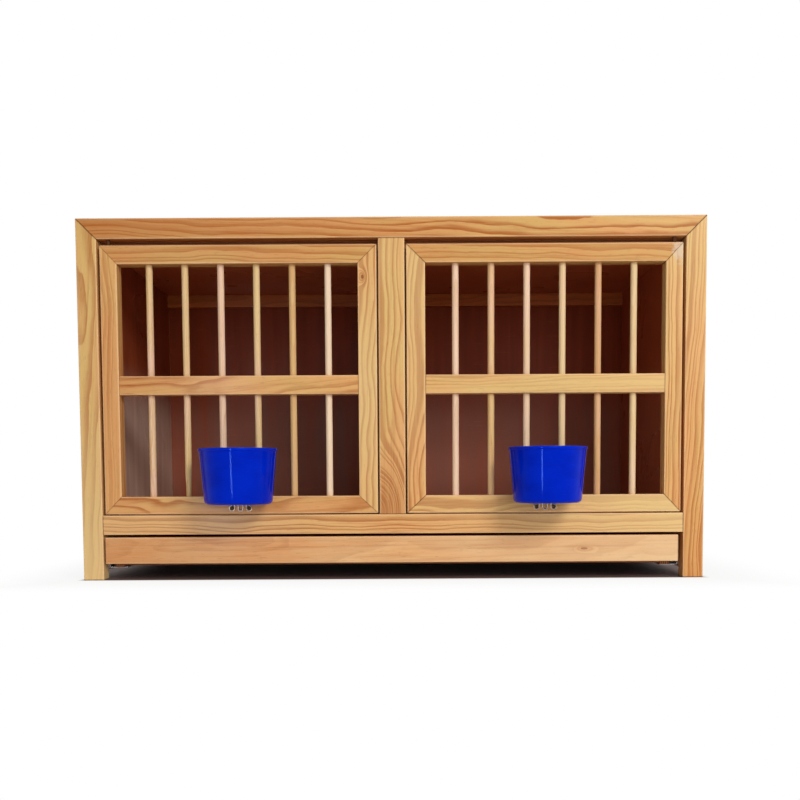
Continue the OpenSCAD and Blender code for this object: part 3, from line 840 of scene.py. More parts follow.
def prism(skin: Skin, outline: Sequence[Pair], thick: int, low: float, high: float) -> None:
    """Adds a straight piece of one section to a mesh, with the plies of a board.

    Args:
        skin: the mesh.
        outline: the section's corners, in the two other coordinates in their order.
        thick: the coordinate that the piece runs along.
        low: where it starts.
        high: where it ends.
    """
    rings = []
    for share, place in enumerate((low, high)):
        points = [Vector((*corner[:thick], place, *corner[thick:])) for corner in outline]
        rings.append(skin.ring(points, [{"ply": Vector((b, a, share))} for a, b in outline]))
    skin.loft(rings)


def soften(piece: bpy.types.Object, width: float, segments: int = 2) -> None:
    """Rounds a piece's sharp edges with a bevel.

    Args:
        piece: the piece.
        width: the bevel's width, in metres.
        segments: how many faces it has across.
    """
    bevel = piece.modifiers.new("soft_edges", "BEVEL")
    bevel.width, bevel.segments = width, segments
    bevel.limit_method, bevel.angle_limit = "ANGLE", math.radians(40)
    piece.modifiers.move(len(piece.modifiers) - 1, 0)


def turned(skin: Skin, foot: Vector, way: Vector, profile: Sequence[Pair], hollow: bool = False) -> None:
    """Adds a turned solid to a mesh.

    Args:
        skin: the mesh.
        foot: the point on its axis that heights are counted from.
        way: the axis, of length 1.
        profile: radius and height of each ring, from one end to the other.
        hollow: True where the last ring meets the first round a bore.
    """
    across = way.orthogonal().normalized()
    beside = way.cross(across)
    rings = [skin.ring([foot + way * height + p.x * across + p.y * beside for p in circle(radius, 24)])
             for radius, height in profile]
    if not hollow:
        skin.loft(rings)
        return
    for first, second in zip(rings, rings[1:] + rings[:1]):
        skin.bridge(first, second)


def rounded_rod(radius: float, length: float, ease: float) -> list[Pair]:
    """Returns the profile of a rod with eased ends, for turned()."""
    near = [(radius - ease, 0.0), (radius - 0.3 * ease, 0.3 * ease), (radius, ease)]
    return near + [(r, length - height) for r, height in near[::-1]]


def washer(bore: float, outer: float, thick: float, ease: float = 0.15 * MM) -> list[Pair]:
    """Returns the profile of a washer with eased edges, for turned() with hollow."""
    return [(bore, ease), (bore + ease, 0.0), (outer - ease, 0.0), (outer, ease),
            (outer, thick - ease), (outer - ease, thick), (bore + ease, thick), (bore, thick - ease)]


@dataclass(frozen=True)
class Screw:
    """A cross-slotted screw: its head, either countersunk or round, and its shank."""

    head_d: float
    shank_d: float
    shank_l: float
    dome: float
    sink: float
    slot_depth: float = 1.0 * MM

    def grow(self, skin: Skin, head: Vector, way: Vector) -> None:
        """Adds the screw to a mesh, ring by ring from its tip to the bottom of its slot.

        Args:
            skin: the mesh.
            head: middle of the head where it meets the surface.
            way: direction that the screw points in, of length 1.
        """
        across = way.orthogonal().normalized()
        beside = way.cross(across)
        radius = self.head_d / 2
        arm, half = 0.62 * radius, 0.17 * radius
        corners = [Vector(p) for p in (
            (arm, -half), (arm, half), (half, half), (half, arm), (-half, arm), (-half, half),
            (-arm, half), (-arm, -half), (-half, -half), (-half, -arm), (half, -arm), (half, -half))]
        cross = [p for first, second in zip(corners, corners[1:] + corners[:1])
                 for p in (first, (first + second) / 2)]
        rounds = [(self.shank_d * 0.1, -self.shank_l), (self.shank_d / 2, -self.shank_l + 1.5 * self.shank_d),
                  (self.shank_d / 2, -self.sink), (radius, -0.02 * MM), (radius, 0.3 * self.dome),
                  (0.86 * radius, 0.8 * self.dome)]
        levels = [([size * p.normalized() for p in cross], height) for size, height in rounds]
        levels += [([size * p for p in cross], self.dome - depth)
                   for size, depth in ((1.12, 0.0), (1.0, 0.12 * MM), (0.55, self.slot_depth))]
        skin.loft([skin.ring([head - way * height + p.x * across + p.y * beside for p in reach])
                   for reach, height in levels])


ROUND_HEAD = Screw(head_d=5.4 * MM, shank_d=2.4 * MM, shank_l=10 * MM, dome=1.3 * MM, sink=0.0)
SUNK_HEAD = Screw(head_d=7 * MM, shank_d=3.2 * MM, shank_l=20 * MM, dome=0.25 * MM, sink=1.9 * MM)


class SubAssembly(ABC):
    """A group of pieces that a maker would put together on the bench, on one CAD body."""

    body: ClassVar[str] = "cage"

    @abstractmethod
    def build(self, shop: Shop) -> None:
        """Builds and dresses the pieces.

        Args:
            shop: the finishes to dress them with.
        """

    def row(self, node: str, axis: Axis, finish: Finish, boxes: dict[str, tuple[Vector, Vector]],
            **more: float) -> None:
        """Builds a node of one or more sticks from the pile.

        Args:
            node: the CAD node.
            axis: the way that their grain runs.
            finish: their finish.
            boxes: for each stick's name in the pile, the two corners of its box.
            **more: how they differ from a plain Stick.
        """
        skin = Skin()
        for name, box in boxes.items():
            Stick(axis, Timber.from_stock(name), **more).grow(skin, *box)
        skin.piece(node, finish, self.body)

    def discs(self, node: str, middles: Sequence[float], shop: Shop) -> None:
        """Builds a catch's flat discs, one near the node's bottom and one near its top at each place.

        Args:
            node: the CAD node.
            middles: the X of each place.
            shop: the finishes.
        """
        low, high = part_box(node)
        keeper_low, keeper_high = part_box("right_keepers")
        radius = (keeper_high.x - keeper_low.x) / 2
        skin = Skin()
        for x in middles:
            for z in (low.z + radius, high.z - radius):
                turned(skin, Vector((x, low.y, z)), BACK, rounded_rod(radius, high.y - low.y, 0.25 * MM))
        skin.piece(node, shop.zinc, self.body)


class FrontFrame(SubAssembly):
    """The front posts and top rail, mitred together, with the sill and the upright between the doors."""

    def build(self, shop: Shop) -> None:
        """Builds the five sticks and dresses the dowels in their joints."""
        low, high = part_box("right_front_post")
        mitre = (high.x - low.x, 0.0)
        low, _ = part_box("mullion")
        swirl = Blemish((low.x, low.z + 3 * MM), (9 * MM, 14 * MM), -3.2)
        # each Timber's light (its fifth value) pales or darkens the stick, partly as painted light and shade
        for node, axis, timber, more in (
                ("left_front_post", Axis.Z, Timber((-0.045, 0.030), (0.09, 0.02), 0.78, (0.3, 0.3, 0.3),
                                                   (0.72, 0.14, 0.04), 3.1), {"end": mitre[::-1]}),
                ("right_front_post", Axis.Z, Timber((0.040, 0.016), (0.06, 0.01), 0.8, (1.0, 0.7, 0.4),
                                                    (-0.18, 0.06, 0.42), 9.4), {"end": mitre}),
                ("top_rail", Axis.X, Timber((0.050, 0.025), (-0.05, 0.01), 1.1, (0.7, 0.8, 0.2),
                                            (-0.54, -0.24, -0.08), 1.0), {"start": mitre, "end": mitre}),
                ("sill_rail", Axis.X, Timber((0.050, 0.030), (-0.01, 0.0), 1.15, (1.0, 0.9, 0.3),
                                             (0.32, 0.08, 0.6), 5.2), {}),
                ("mullion", Axis.Z, Timber((0.030, 0.050), (0.02, 0.0), 0.75, (1.0, 0.4, 0.5),
                                           (0.12, 0.10, 0.24), 7.7), {"marred": {"knot": swirl}})):
            Stick(axis, timber, **more).piece(node, shop.pine, self.body)
        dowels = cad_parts["glue_dowels"].data.materials
        dowels.clear()
        dowels.append(shop.bars.mixed())


@dataclass
class Carcass(SubAssembly):
    """The rear frame, the side rails and skirts, the batten on the back and the top board's planks."""

    planks: int = 4

    def build(self, shop: Shop) -> None:
        """Builds the sticks of the sides and back, and the top board."""
        upright = ["left_rear_post", "right_rear_post"]
        level = ["rear_top_rail", "rear_skirt"]
        deep = [side.node(name) for side in Side for name in ("top_side_rail", "skirt")]
        for nodes, axis, seam in ((upright, Axis.Z, 0.3), (level, Axis.X, 1.0), (deep, Axis.Y, 1.0)):
            for node in nodes:
                self.row(node, axis, shop.pine, {node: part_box(node)}, seam=seam)
        self.row("back_batten", Axis.X, shop.stained, {"back_batten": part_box("back_batten")})
        low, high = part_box("top_board")
        joints = spaced(low.y, high.y, self.planks + 1)
        self.row("top_board", Axis.X, shop.pine, {
            f"top_plank_{i}": (Vector((low.x, joints[i], low.z)), Vector((high.x, joints[i + 1], high.z)))
            for i in range(self.planks)}, ease=0.4 * MM)


@dataclass
class Panels(SubAssembly):
    """The brown panels of the sides, back and ceiling, the partition, and the screws that hold them."""

    screw_end: float = 35 * MM
    across_back: int = 5
    along_side: int = 3

    def build(self, shop: Shop) -> None:
        """Builds the panels, the notched partition and the screws."""
        # painted_light pales the inner faces as painted light; dust_and_painted_light pales the lower walls
        # with dust and painted light
        boards = {"left_side_panel": Board(0, 2, dust_and_painted_light=(0.0, 0.95), painted_light=(0.0, 0.3)),
                  "right_side_panel": Board(0, 2, dust_and_painted_light=(0.1, 0.0), painted_light=(0.85, 0.0)),
                  "back_panel": Board(1, 2, dust_and_painted_light=(0.2, 0.0), painted_light=(0.2, 0.0)),
                  "ceiling_panel": Board(2, 0, painted_light=(0.9, 0.0))}
        for node, board in boards.items():
            board.piece(node, shop.film, self.body)
        self.partition(shop)
        skin = Skin()
        for head, way in self.screw_places():
            SUNK_HEAD.grow(skin, head, way)
        skin.piece("panel_screws", shop.screw, self.body)

    def partition(self, shop: Shop) -> None:
        """Builds the board between the compartments, cut out at the back for the batten.

        Args:
            shop: the finishes.
        """
        low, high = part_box("partition")
        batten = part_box("back_batten")[0]
        outline = [(low.y, low.z), (high.y, low.z), (high.y, batten.z), (batten.y, batten.z),
                   (batten.y, high.z), (low.y, high.z)]
        skin = Skin()
        prism(skin, outline, 0, low.x, high.x)
        soften(skin.piece("partition", shop.film, self.body, "partition-board"), 0.5 * MM)

    def screw_places(self) -> list[tuple[Vector, Vector]]:
        """Returns the middle of each screw's head and the way that it points."""
        made = []
        low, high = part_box("back_panel")
        for board, held in (("back_panel", "back_batten"), ("rear_skirt", "rear_skirt")):
            face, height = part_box(board)[1].y, sum(p.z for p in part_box(held)) / 2
            made += [(Vector((x, face, height)), -BACK)
                     for x in spaced(low.x + self.screw_end, high.x - self.screw_end, self.across_back)]
        low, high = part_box("right_side_panel")
        for board, held in (("right_skirt", "right_skirt"), ("right_side_panel", "floor_bearers")):
            face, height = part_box(board)[1].x, sum(p.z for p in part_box(held)) / 2
            made += [(Vector((side.value * face, y, height)), Vector((-side.value, 0.0, 0.0)))
                     for y in spaced(low.y + self.screw_end, high.y - self.screw_end, self.along_side)
                     for side in Side]
        return made


@dataclass
class SlattedFloor(SubAssembly):
    """The three bearers and each compartment's row of slats."""

    side_bearer_w: float = 14 * MM
    middle_bearer_w: float = 34 * MM
    slat_w: float = 14 * MM
    slat_count: int = 13

    def build(self, shop: Shop) -> None:
        """Builds the bearers and the slats."""
        low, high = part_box("floor_bearers")
        half = self.middle_bearer_w / 2
        spans = ((low.x, low.x + self.side_bearer_w), (-half, half), (high.x - self.side_bearer_w, high.x))
        self.row("floor_bearers", Axis.Y, shop.pine, {
            f"bearer_{i}": (Vector((first, low.y, low.z)), Vector((last, high.y, high.z)))
            for i, (first, last) in enumerate(spans)}, ease=0.5 * MM)
        for node in (side.node("floor_slats") for side in Side):
            low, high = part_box(node)
            places = spaced(low.y, high.y - self.slat_w, self.slat_count)
            self.row(node, Axis.X, shop.pine, {
                f"{node}_{i}": (Vector((low.x, y, low.z)), Vector((high.x, y + self.slat_w, high.z)))
                for i, y in enumerate(places)}, seam=0.3)


@dataclass
class Fittings(SubAssembly):
    """What the doors turn on and close against: pins, washers, the stop strip and its catch magnets."""

    bore_play: float = 0.05 * MM

    def build(self, shop: Shop) -> None:
        """Builds the strip and the small turned pieces."""
        self.row("door_stop", Axis.Z, shop.pine, {"door_stop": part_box("door_stop")}, ease=0.6 * MM)
        low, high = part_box("hinge_pins")
        radius, y = (high.y - low.y) / 2, (high.y + low.y) / 2
        door_low, door_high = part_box("left_hinge_stile")
        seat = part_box("sill_rail")[1].z - low.z
        pins, washers = Skin(), Skin()
        ring_low, ring_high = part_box("hinge_washers")
        outer, ring_y = (ring_high.y - ring_low.y) / 2, (ring_high.y + ring_low.y) / 2
        ring = washer(radius + self.bore_play, outer, ring_high.z - ring_low.z)
        for side in Side:
            for first, last in ((low.z, door_low.z + seat), (door_high.z - seat, high.z)):
                turned(pins, Vector((side.value * (high.x - radius), y, first)), UP,
                       rounded_rod(radius, last - first, 0.5 * MM))
            foot = Vector((side.value * (ring_high.x - outer), ring_y, ring_low.z))
            turned(washers, foot, UP, ring, hollow=True)
        # dark brown pins and washers: painted shade in the hinge gaps
        pins.piece("hinge_pins", shop.dull, self.body)
        washers.piece("hinge_washers", shop.dull, self.body)
        keeper_low, keeper_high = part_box("right_keepers")
        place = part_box("door_magnets")[1].x - (keeper_high.x - keeper_low.x) / 2
        self.discs("door_magnets", [side.value * place for side in Side], shop)


@dataclass
class Door(SubAssembly):
    """A mitred door with a middle rail, turned bars and the two keepers of its catches.

    bar_tones gives each bar's warmth and light, and shaved the height up to which a bar was thinned.
    """

    side: Side
    timbers: dict[str, Timber]
    marred: dict[str, dict[str, Blemish]]
    bar_tones: Sequence[Pair]
    seam: float = 0.6
    shaved: dict[int, float] = field(default_factory=dict)
    rail_recess: float = 0.4 * MM
    bar_sides: int = 24
    bar_step: float = 8 * MM
    bar_wave: float = 0.10 * MM
    shaving: float = 0.9 * MM
    shaving_run: float = 9 * MM

    @property
    def body(self) -> str:
        """Returns the CAD body of this door."""
        return self.side.node("door")

    def size(self, name: str) -> Vector:
        """Returns the size of one of the door's pieces."""
        low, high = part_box(self.side.node(name))
        return high - low

    def build(self, shop: Shop) -> None:
        """Builds the mitred frame, the middle rail, the bars and the keepers."""
        turn = self.side.value
        heights = [self.size(name).z for name in ("door_foot", "door_head")]
        widths = [self.size(name).x for name in ("hinge_stile", "meeting_stile")[::-turn]]
        for name, axis, cuts in (
                ("hinge_stile", Axis.Z, [(height, 0.0)[::turn] for height in heights]),
                ("meeting_stile", Axis.Z, [(height, 0.0)[::-turn] for height in heights]),
                ("door_head", Axis.X, [(width, 0.0) for width in widths]),
                ("door_foot", Axis.X, [(0.0, width) for width in widths]),
                ("mid_rail", Axis.X, [])):
            node = self.side.node(name)
            low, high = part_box(node)
            recess = (self.rail_recess if name == "mid_rail" else 0.0) * BACK
            stick = Stick(axis, self.timbers[name], *cuts, seam=self.seam, marred=self.marred.get(name, {}))
            skin = Skin()
            stick.grow(skin, low + recess, high - recess)
            skin.piece(node, shop.pine, self.body)
        self.bars(shop)
        node = self.side.node("keepers")
        low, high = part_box(node)
        self.discs(node, [(low.x + high.x) / 2], shop)

    def bars(self, shop: Shop) -> None:
        """Builds the row of bars.

        Args:
            shop: the finishes.
        """
        node = self.side.node("door_bars")
        low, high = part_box(node)
        radius = (high.y - low.y) / 2
        skin = Skin()
        places = spaced(low.x + radius, high.x - radius, len(self.bar_tones))
        for i, (x, (warmth, light)) in enumerate(zip(places, self.bar_tones)):
            timber = Timber.from_stock(f"{node}_{i}")
            timber = replace(timber, figure=0.55 * timber.figure, warmth=(warmth,) * 3, light=(light,) * 3)
            foot = Vector((x, (low.y + high.y) / 2, low.z))
            self.bar(skin, foot, high.z - low.z, radius, timber, self.shaved.get(i, -self.shaving_run))
        skin.piece(node, shop.bars, self.body)

    def bar(self, skin: Skin, foot: Vector, tall: float, radius: float, timber: Timber,
            shaved: float) -> None:
        """Adds one bar to a mesh, a little uneven as it came off the lathe.

        Args:
            skin: the mesh.
            foot: middle of its lower end.
            tall: its length.
            radius: its radius.
            timber: its wood.
            shaved: height up to which it was shaved thinner to fit.
        """
        rings = []
        for height in spaced(0.0, tall, round(tall / self.bar_step) + 1):
            thin = self.shaving * min(1.0, max(0.0, (shaved - height) / self.shaving_run))
            points, marks = [], []
            for way in circle(1.0, self.bar_sides):
                uneven = noise.noise(Vector((timber.start + way.x, way.y, height * 45)))
                across, deep = (radius - thin - self.bar_wave * (1 + uneven)) * way
                points.append(foot + Vector((across, deep, height)))
                marks.append(timber.marks(across, deep, height, height / tall))
            rings.append(skin.ring(points, marks))
        skin.loft(rings)


@dataclass
class CupBracket(SubAssembly):
    """The bent wire that a cup hangs on, with a dark screw through each of its two eyes."""

    side: Side
    wire_d: float = 2 * MM
    eye_d: float = 8.6 * MM
    eye_pitch: float = 22 * MM
    tongue_w: float = 6 * MM
    eye_end: float = 78.0
    sides: int = 14

    @property
    def body(self) -> str:
        """Returns the CAD body of the door that the bracket is screwed to."""
        return self.side.node("door")

    def path(self, low: Vector, high: Vector) -> list[Pair]:
        """Centre line of the wire, from one eye over the two loops to the other eye.

        Args:
            low: lowest corner of the bracket's box.
            high: highest corner of it.

        Returns:
            Its points in X and Z, with X counted from the bracket's middle.
        """
        eye_r, tongue_r = (self.eye_d - self.wire_d) / 2, self.tongue_w / 2
        eye_z = low.z + self.eye_d / 2
        riser_x = self.eye_pitch / 2 - eye_r
        loop_r = (riser_x - tongue_r) / 2
        loop_z = high.z - self.wire_d / 2 - loop_r
        half = (arc((-self.eye_pitch / 2, eye_z), eye_r, self.eye_end, 360, 28)
                + arc((-(riser_x + tongue_r) / 2, loop_z), loop_r, 180, 0, 14)
                + arc((0.0, eye_z - eye_r + tongue_r), tongue_r, 180, 270, 8))
        return half + [(-x, z) for x, z in half[-2::-1]]

    def build(self, shop: Shop) -> None:
        """Builds the wire and its screws."""
        node = self.side.node("cup_bracket")
        low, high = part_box(node)
        middle = (low + high) / 2
        path = [Vector((middle.x + x, middle.y, z)) for x, z in self.path(low, high)]
        last = len(path) - 1
        skin = Skin()
        rings = []
        for i, point in enumerate(path):
            way = (path[min(i + 1, last)] - path[max(i - 1, 0)]).normalized()
            beside = Vector((-way.z, 0.0, way.x))
            size = self.wire_d / 2 * (0.75 if i in (0, last) else 1.0)
            rings.append(skin.ring([point + p.x * beside + p.y * BACK for p in circle(size, self.sides)]))
        skin.loft(rings)
        skin.piece(node, shop.wire, self.body)
        skin = Skin()
        for x in (-self.eye_pitch / 2, self.eye_pitch / 2):
            ROUND_HEAD.grow(skin, Vector((middle.x + x, low.y, low.z + self.eye_d / 2)), BACK)
        skin.piece(self.side.node("cup_screws"), shop.dark, self.body)


@dataclass
class FeedingCup(SubAssembly):
    """A moulded cup, round in front and flat at the back, with a rolled rim, a foot and a hook."""

    side: Side
    top_d: float = 98 * MM
    bottom_d: float = 84 * MM
    height: float = 69.5 * MM
    wall: float = 2.2 * MM
    rim_h: float = 4 * MM
    rim_out: float = 0.8 * MM
    bend: float = 5 * MM
    corner: float = 7 * MM
    least_corner: float = 1.2 * MM
    hook_reach: float = 5.3 * MM
    hook_root: float = 1.4 * MM
    hook_w: float = 26 * MM
    hook_t: float = 2.2 * MM
    hook_tail: float = 12 * MM
    hook_top: float = 46 * MM

    @property
    def body(self) -> str:
        """Returns the CAD body of this cup."""
        return self.side.node("cup")

    def outline(self, radius: float, back: float, corner: float) -> list[Pair]:
        """One level of the cup, seen from above.

        Args:
            radius: its radius in front.
            back: distance of its flat back behind the axis.
            corner: radius of the two corners beside the flat.

        Returns:
            Each point's X and Y from the axis.
        """
        reach, depth = radius - corner, back - corner
        side = math.sqrt(max(reach * reach - depth * depth, 1e-8))
        turn = math.degrees(math.atan2(depth, side))
        return [*arc((0.0, 0.0), radius, turn, -180.0 - turn, 96),
                *arc((-side, depth), corner, 180.0 - turn, 90.0, 8)[1:],
                *((x, back) for x in spaced(-side, side, 11)[1:-1]),
                *arc((side, depth), corner, 90.0, turn, 8)[:-1]]

    def levels(self) -> list[Three]:
        """Returns each ring's radius, how far its back lies inside the cup's back, and its height."""
        bottom, top, tall, wall = self.bottom_d / 2, self.top_d / 2 - self.rim_out, self.height, self.wall
        rim, out = tall - self.rim_h, self.top_d / 2

        def lean(inset: float, z: float) -> Three:
            """Returns a ring on the cup's slope, or inside it, at a height."""
            return (between(bottom, top, z / tall) - inset, inset, z)

        def bent(turn: int, inset: float, bend: float) -> Three:
            """Returns a ring on the bend between the cup's floor and its slope, at an angle."""
            a = math.radians(turn)
            return lean(inset + bend * (1 - math.sin(a)), inset + bend * (1 - math.cos(a)))

        foot = ((13.0, 1.0), (8.2, 1.0), (7.6, 0.1), (6.8, 0.0))
        made = [(bottom - inset * MM, inset * MM, z * MM) for inset, z in foot]
        made += [bent(turn, 0.0, self.bend) for turn in range(0, 91, 15)]
        made += [lean(0.0, z) for z in spaced(self.bend + 1.0 * MM, rim - 0.4 * MM, 10)]
        made += [lean(0.0, rim), (out - 0.25 * MM, 0.0, rim + 0.45 * MM), (out, 0.0, rim + 0.9 * MM),
                 (out, 0.0, tall - 1.0 * MM), (out - 0.3 * MM, 0.25 * MM, tall - 0.3 * MM),
                 (out - 0.9 * MM, 0.8 * MM, tall), (top - wall + 0.6 * MM, wall - 0.6 * MM, tall),
                 (top - wall + 0.1 * MM, wall - 0.1 * MM, tall - 0.3 * MM), lean(wall, tall - 1.2 * MM)]
        made += [lean(wall, z) for z in spaced(tall - 6 * MM, self.bend + 1 * MM, 6)]
        made += [bent(turn, wall, self.bend - wall) for turn in range(75, -1, -15)]
        return made + [(bottom - 13 * MM, 13 * MM, wall)]

    def build(self, shop: Shop) -> None:
        """Builds the cup's shell and its hook."""
        low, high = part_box(self.body)
        x, y = (low.x + high.x) / 2, low.y + self.top_d / 2
        back = high.y - self.hook_reach
        skin = Skin()
        rings = []
        for radius, inset, z in self.levels():
            worn = {"wear": Vector((1.0 if z > self.height - 0.5 * MM else 0.0, 0.0, 0.0))}
            points = self.outline(radius, back - y - inset, max(self.corner - inset, self.least_corner))
            rings.append(skin.ring([Vector((x + a, y + b, low.z + z)) for a, b in points],
                                   [worn] * len(points)))
        skin.loft(rings)
        top, tip, thick, root = low.z + self.hook_top, high.y, self.hook_t, self.hook_root
        outline = [(back - root, top), *arc((tip - thick, top - thick), thick, 90, 0, 5),
                   *arc((tip - thick / 2, top - self.hook_tail + thick / 2), thick / 2, 0, -180, 8),
                   *arc((tip - thick - root, top - thick - root), root, 0, 90, 4),
                   (back - root, top - thick)]
        prism(skin, outline, 0, x - self.hook_w / 2, x + self.hook_w / 2)
        made = skin.piece(self.body, shop.blue, self.body)
        LOG.info("%s hangs %.0f mm in front of its door", made.name, (back - low.y) / MM)


@dataclass
class Drawer(SubAssembly):
    """The droppings drawer: a pine front, with a small faint knot, on a plywood box."""

    body: ClassVar[str] = "drawer"
    knot_at: Pair = (0.836, 0.50)
    knot_half: Pair = (4.0 * MM, 1.3 * MM)

    def build(self, shop: Shop) -> None:
        """Builds the front and the box behind it."""
        low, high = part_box("drawer_front")
        place = (between(low.x, high.x, self.knot_at[0]), between(low.z, high.z, self.knot_at[1]))
        # the wood's light runs from darker at the left to paler at the right, partly as painted light
        wood = Timber((0.02, 0.16), (0.015, 0.02), 0.28, (1.0, 0.6, 0.3), (-0.34, 0.02, 0.36), 12.0)
        front = Stick(Axis.X, wood, seam=0.35, marred={"knot": Blemish(place, self.knot_half, 0.4)})
        front.piece("drawer_front", shop.rosy, self.body)
        for node, board in (("drawer_left_side", Board(0, 1)), ("drawer_right_side", Board(0, 1)),
                            ("drawer_back", Board(1, 0)), ("drawer_bottom", Board(2, 0))):
            board.piece(node, shop.film, self.body)


@dataclass
class Runners(SubAssembly):
    """The two folded steel angles that the drawer slides on, and their round-headed screws."""

    sheet: float = 1.2 * MM
    bend: float = 2.4 * MM
    screws_each: int = 3

    def build(self, shop: Shop) -> None:
        """Builds both angles and their screws."""
        heads = Skin()
        low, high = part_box("runner_screws")
        half = ROUND_HEAD.head_d / 2
        corner_low, corner_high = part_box("right_runner")
        for side in Side:
            outline = [(side.value * x, z) for x, z in self.outline(corner_low, corner_high)]
            skin = Skin()
            prism(skin, outline, 1, corner_low.y, corner_high.y)
            soften(skin.piece(side.node("runner"), shop.zinc, self.body, smooth_deg=25.0), 0.2 * MM, 1)
            for y in spaced(low.y + half, high.y - half, self.screws_each):
                head = Vector((side.value * (corner_high.x - self.sheet), y, (low.z + high.z) / 2))
                ROUND_HEAD.grow(heads, head, Vector((side.value, 0.0, 0.0)))
        heads.piece("runner_screws", shop.screw, self.body)

    def outline(self, low: Vector, high: Vector) -> list[Pair]:
        """Returns the right angle's section in X and Z: a flange to slide on, a bend and a web."""
        middle = (high.x - self.bend, low.z + self.bend)
        return [(low.x, low.z), *arc(middle, self.bend, -90, 0, 6), (high.x, high.z),
                (high.x - self.sheet, high.z), *arc(middle, self.bend - self.sheet, 0, -90, 6),
                (low.x, low.z + self.sheet)]


@dataclass
class Studio:
    """A pale floor, soft lamps and the camera at the photograph's viewing angle.

    Round the cage the floor keeps its shadow: closely over contact, faintly over fade, and in the
    lee behind the lamps, which widens to each side by splay over a metre. Under the cage and in the
    inner part of that lee the floor's colour is also darkened to shade, a painted shadow.
    """

    camera_at: Three = (0.0203, -1.4179, 0.1298)
    pitch_deg: float = 3.539
    yaw_deg: float = -0.103
    roll_deg: float = 0.320
    focal_px: float = 979.87
    centre_px: Pair = (406.96, 538.59)
    image_px: float = 800.0
    sensor_mm: float = 36.0
    ambient: float = 0.42
    key_w: float = 26.0
    fill_w: float = 7.5
    strip_w: float = 11.0
    table_front: float = 0.55
    table_half: float = 6.0
    table_drop: float = 0.05 * MM
    fade: float = 0.15
    contact: float = 9 * MM
    close_share: float = 0.86
    splay: float = 0.3
    # colour of the painted shadow on the floor under and beside the cage
    shade: Colour = paint(104, 80, 72)
    pale: tuple[Colour, Colour] = ((0.80, 0.80, 0.80, 1.0), (0.84, 0.84, 0.84, 1.0))

    def build(self) -> None:
        """Sets up the camera, the lamps, the surroundings and the floor."""
        self.camera()
        middle = (0.0, 0.0, 0.22)
        self.lamp("key", (1.08, -2.03, 1.3), middle, (0.85, 0.7), self.key_w, (1.0, 0.98, 0.95))
        self.lamp("fill", (0.55, -2.35, 0.45), middle, (1.0, 0.6), self.fill_w, (0.98, 0.99, 1.0))
        self.lamp("strip", (-0.535, -1.79, 0.2), (-0.2, -0.2, 0.2), (0.12, 1.0), self.strip_w,
                  (1.0, 1.0, 1.0)).visible_diffuse = False
        self.surroundings()
        self.floor()
        bpy.context.scene.view_settings.view_transform = "Standard"

    def camera(self) -> None:
        """Places the camera where the photograph was taken from."""
        data = bpy.data.cameras.new("camera")
        data.sensor_width = self.sensor_mm
        data.lens = self.focal_px / self.image_px * self.sensor_mm
        data.shift_x = 0.5 - self.centre_px[0] / self.image_px
        data.shift_y = self.centre_px[1] / self.image_px - 0.5
        camera = put("camera", data)
        camera.matrix_world = Matrix.Translation(self.camera_at)
        for degrees, axis in ((-self.yaw_deg, "Z"), (90 - self.pitch_deg, "X"), (-self.roll_deg, "Z")):
            camera.matrix_world = camera.matrix_world @ Matrix.Rotation(math.radians(degrees), 4, axis)
        bpy.context.scene.camera = camera

    def lamp(self, name: str, at: Three, aim: Three, size: Pair, watts: float,
             tint: Three) -> bpy.types.Object:
        """Hangs a soft box.

        Args:
            name: its name.
            at: where it hangs.
            aim: the point that it faces.
            size: its width and height.
            watts: its power.
            tint: its colour.

        Returns:
            The lamp.
        """
        data = bpy.data.lights.new(name, "AREA")
        data.shape, data.size, data.size_y = "RECTANGLE", *size
        data.energy, data.color = watts, tint
        lamp = put(name, data)
        way = Vector(aim) - Vector(at)
        lamp.matrix_world = Matrix.Translation(Vector(at)) @ way.to_track_quat("-Z", "Y").to_matrix().to_4x4()
        return lamp

    def surroundings(self) -> None:
        """Gives the room an even pale light, seen as plain white."""
        bpy.context.scene.world = world = bpy.data.worlds.new("studio")
        w = Wiring(world, "ShaderNodeOutputWorld")
        light, seen = (w.add("ShaderNodeBackground", {"Color": WHITE, "Strength": strength})
                       for strength in (self.ambient, 1.0))
        w.show(w.add("ShaderNodeMixShader", {0: w.seen(), 1: light, 2: seen}))

    def floor(self) -> None:
        """Lays a pale table top that keeps the cage's shadow, painted darker under and beside the cage as a
        painted shadow, and fades to white away from it.
        """
        (_, y, _), (right, back, _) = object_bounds()
        near, half = y - self.table_front, self.table_half
        corners = ((-half, near), (half, near), (half, half), (-half, half))
        mesh = bpy.data.meshes.new("studio_floor")
        mesh.from_pydata([(*corner, -self.table_drop) for corner in corners], [], [(0, 1, 2, 3)])
        put("studio_floor", mesh)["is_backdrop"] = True
        material = bpy.data.materials.new("pale_floor")
        w = Wiring(material)
        place = w.place()
        x, y, _ = w.parts(place)
        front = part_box("sill_rail")[0].y
        beside = w.minus(w.sum("ABSOLUTE", x), right)
        out = w.most(beside, w.minus(w.sum("ABSOLUTE", w.minus(y, (back + front) / 2)), (back - front) / 2))
        lee = w.most(w.times(w.minus(y, front), self.splay), 1 * MM)
        beyond = w.most(w.spread(w.minus(y, back), 0.0, self.fade), w.spread(y, front, front - 1 * MM))
        clear = w.most(w.spread(w.sum("DIVIDE", beside, lee), 0.5, 1.0), beyond)
        far = w.plus(w.spread(out, 0.0, self.contact, 0.0, self.close_share),
                     w.spread(out, 0.0, self.fade, 0.0, 1.0 - self.close_share))
        grit = w.cloud(place, (90, 90, 90), 0, 3)
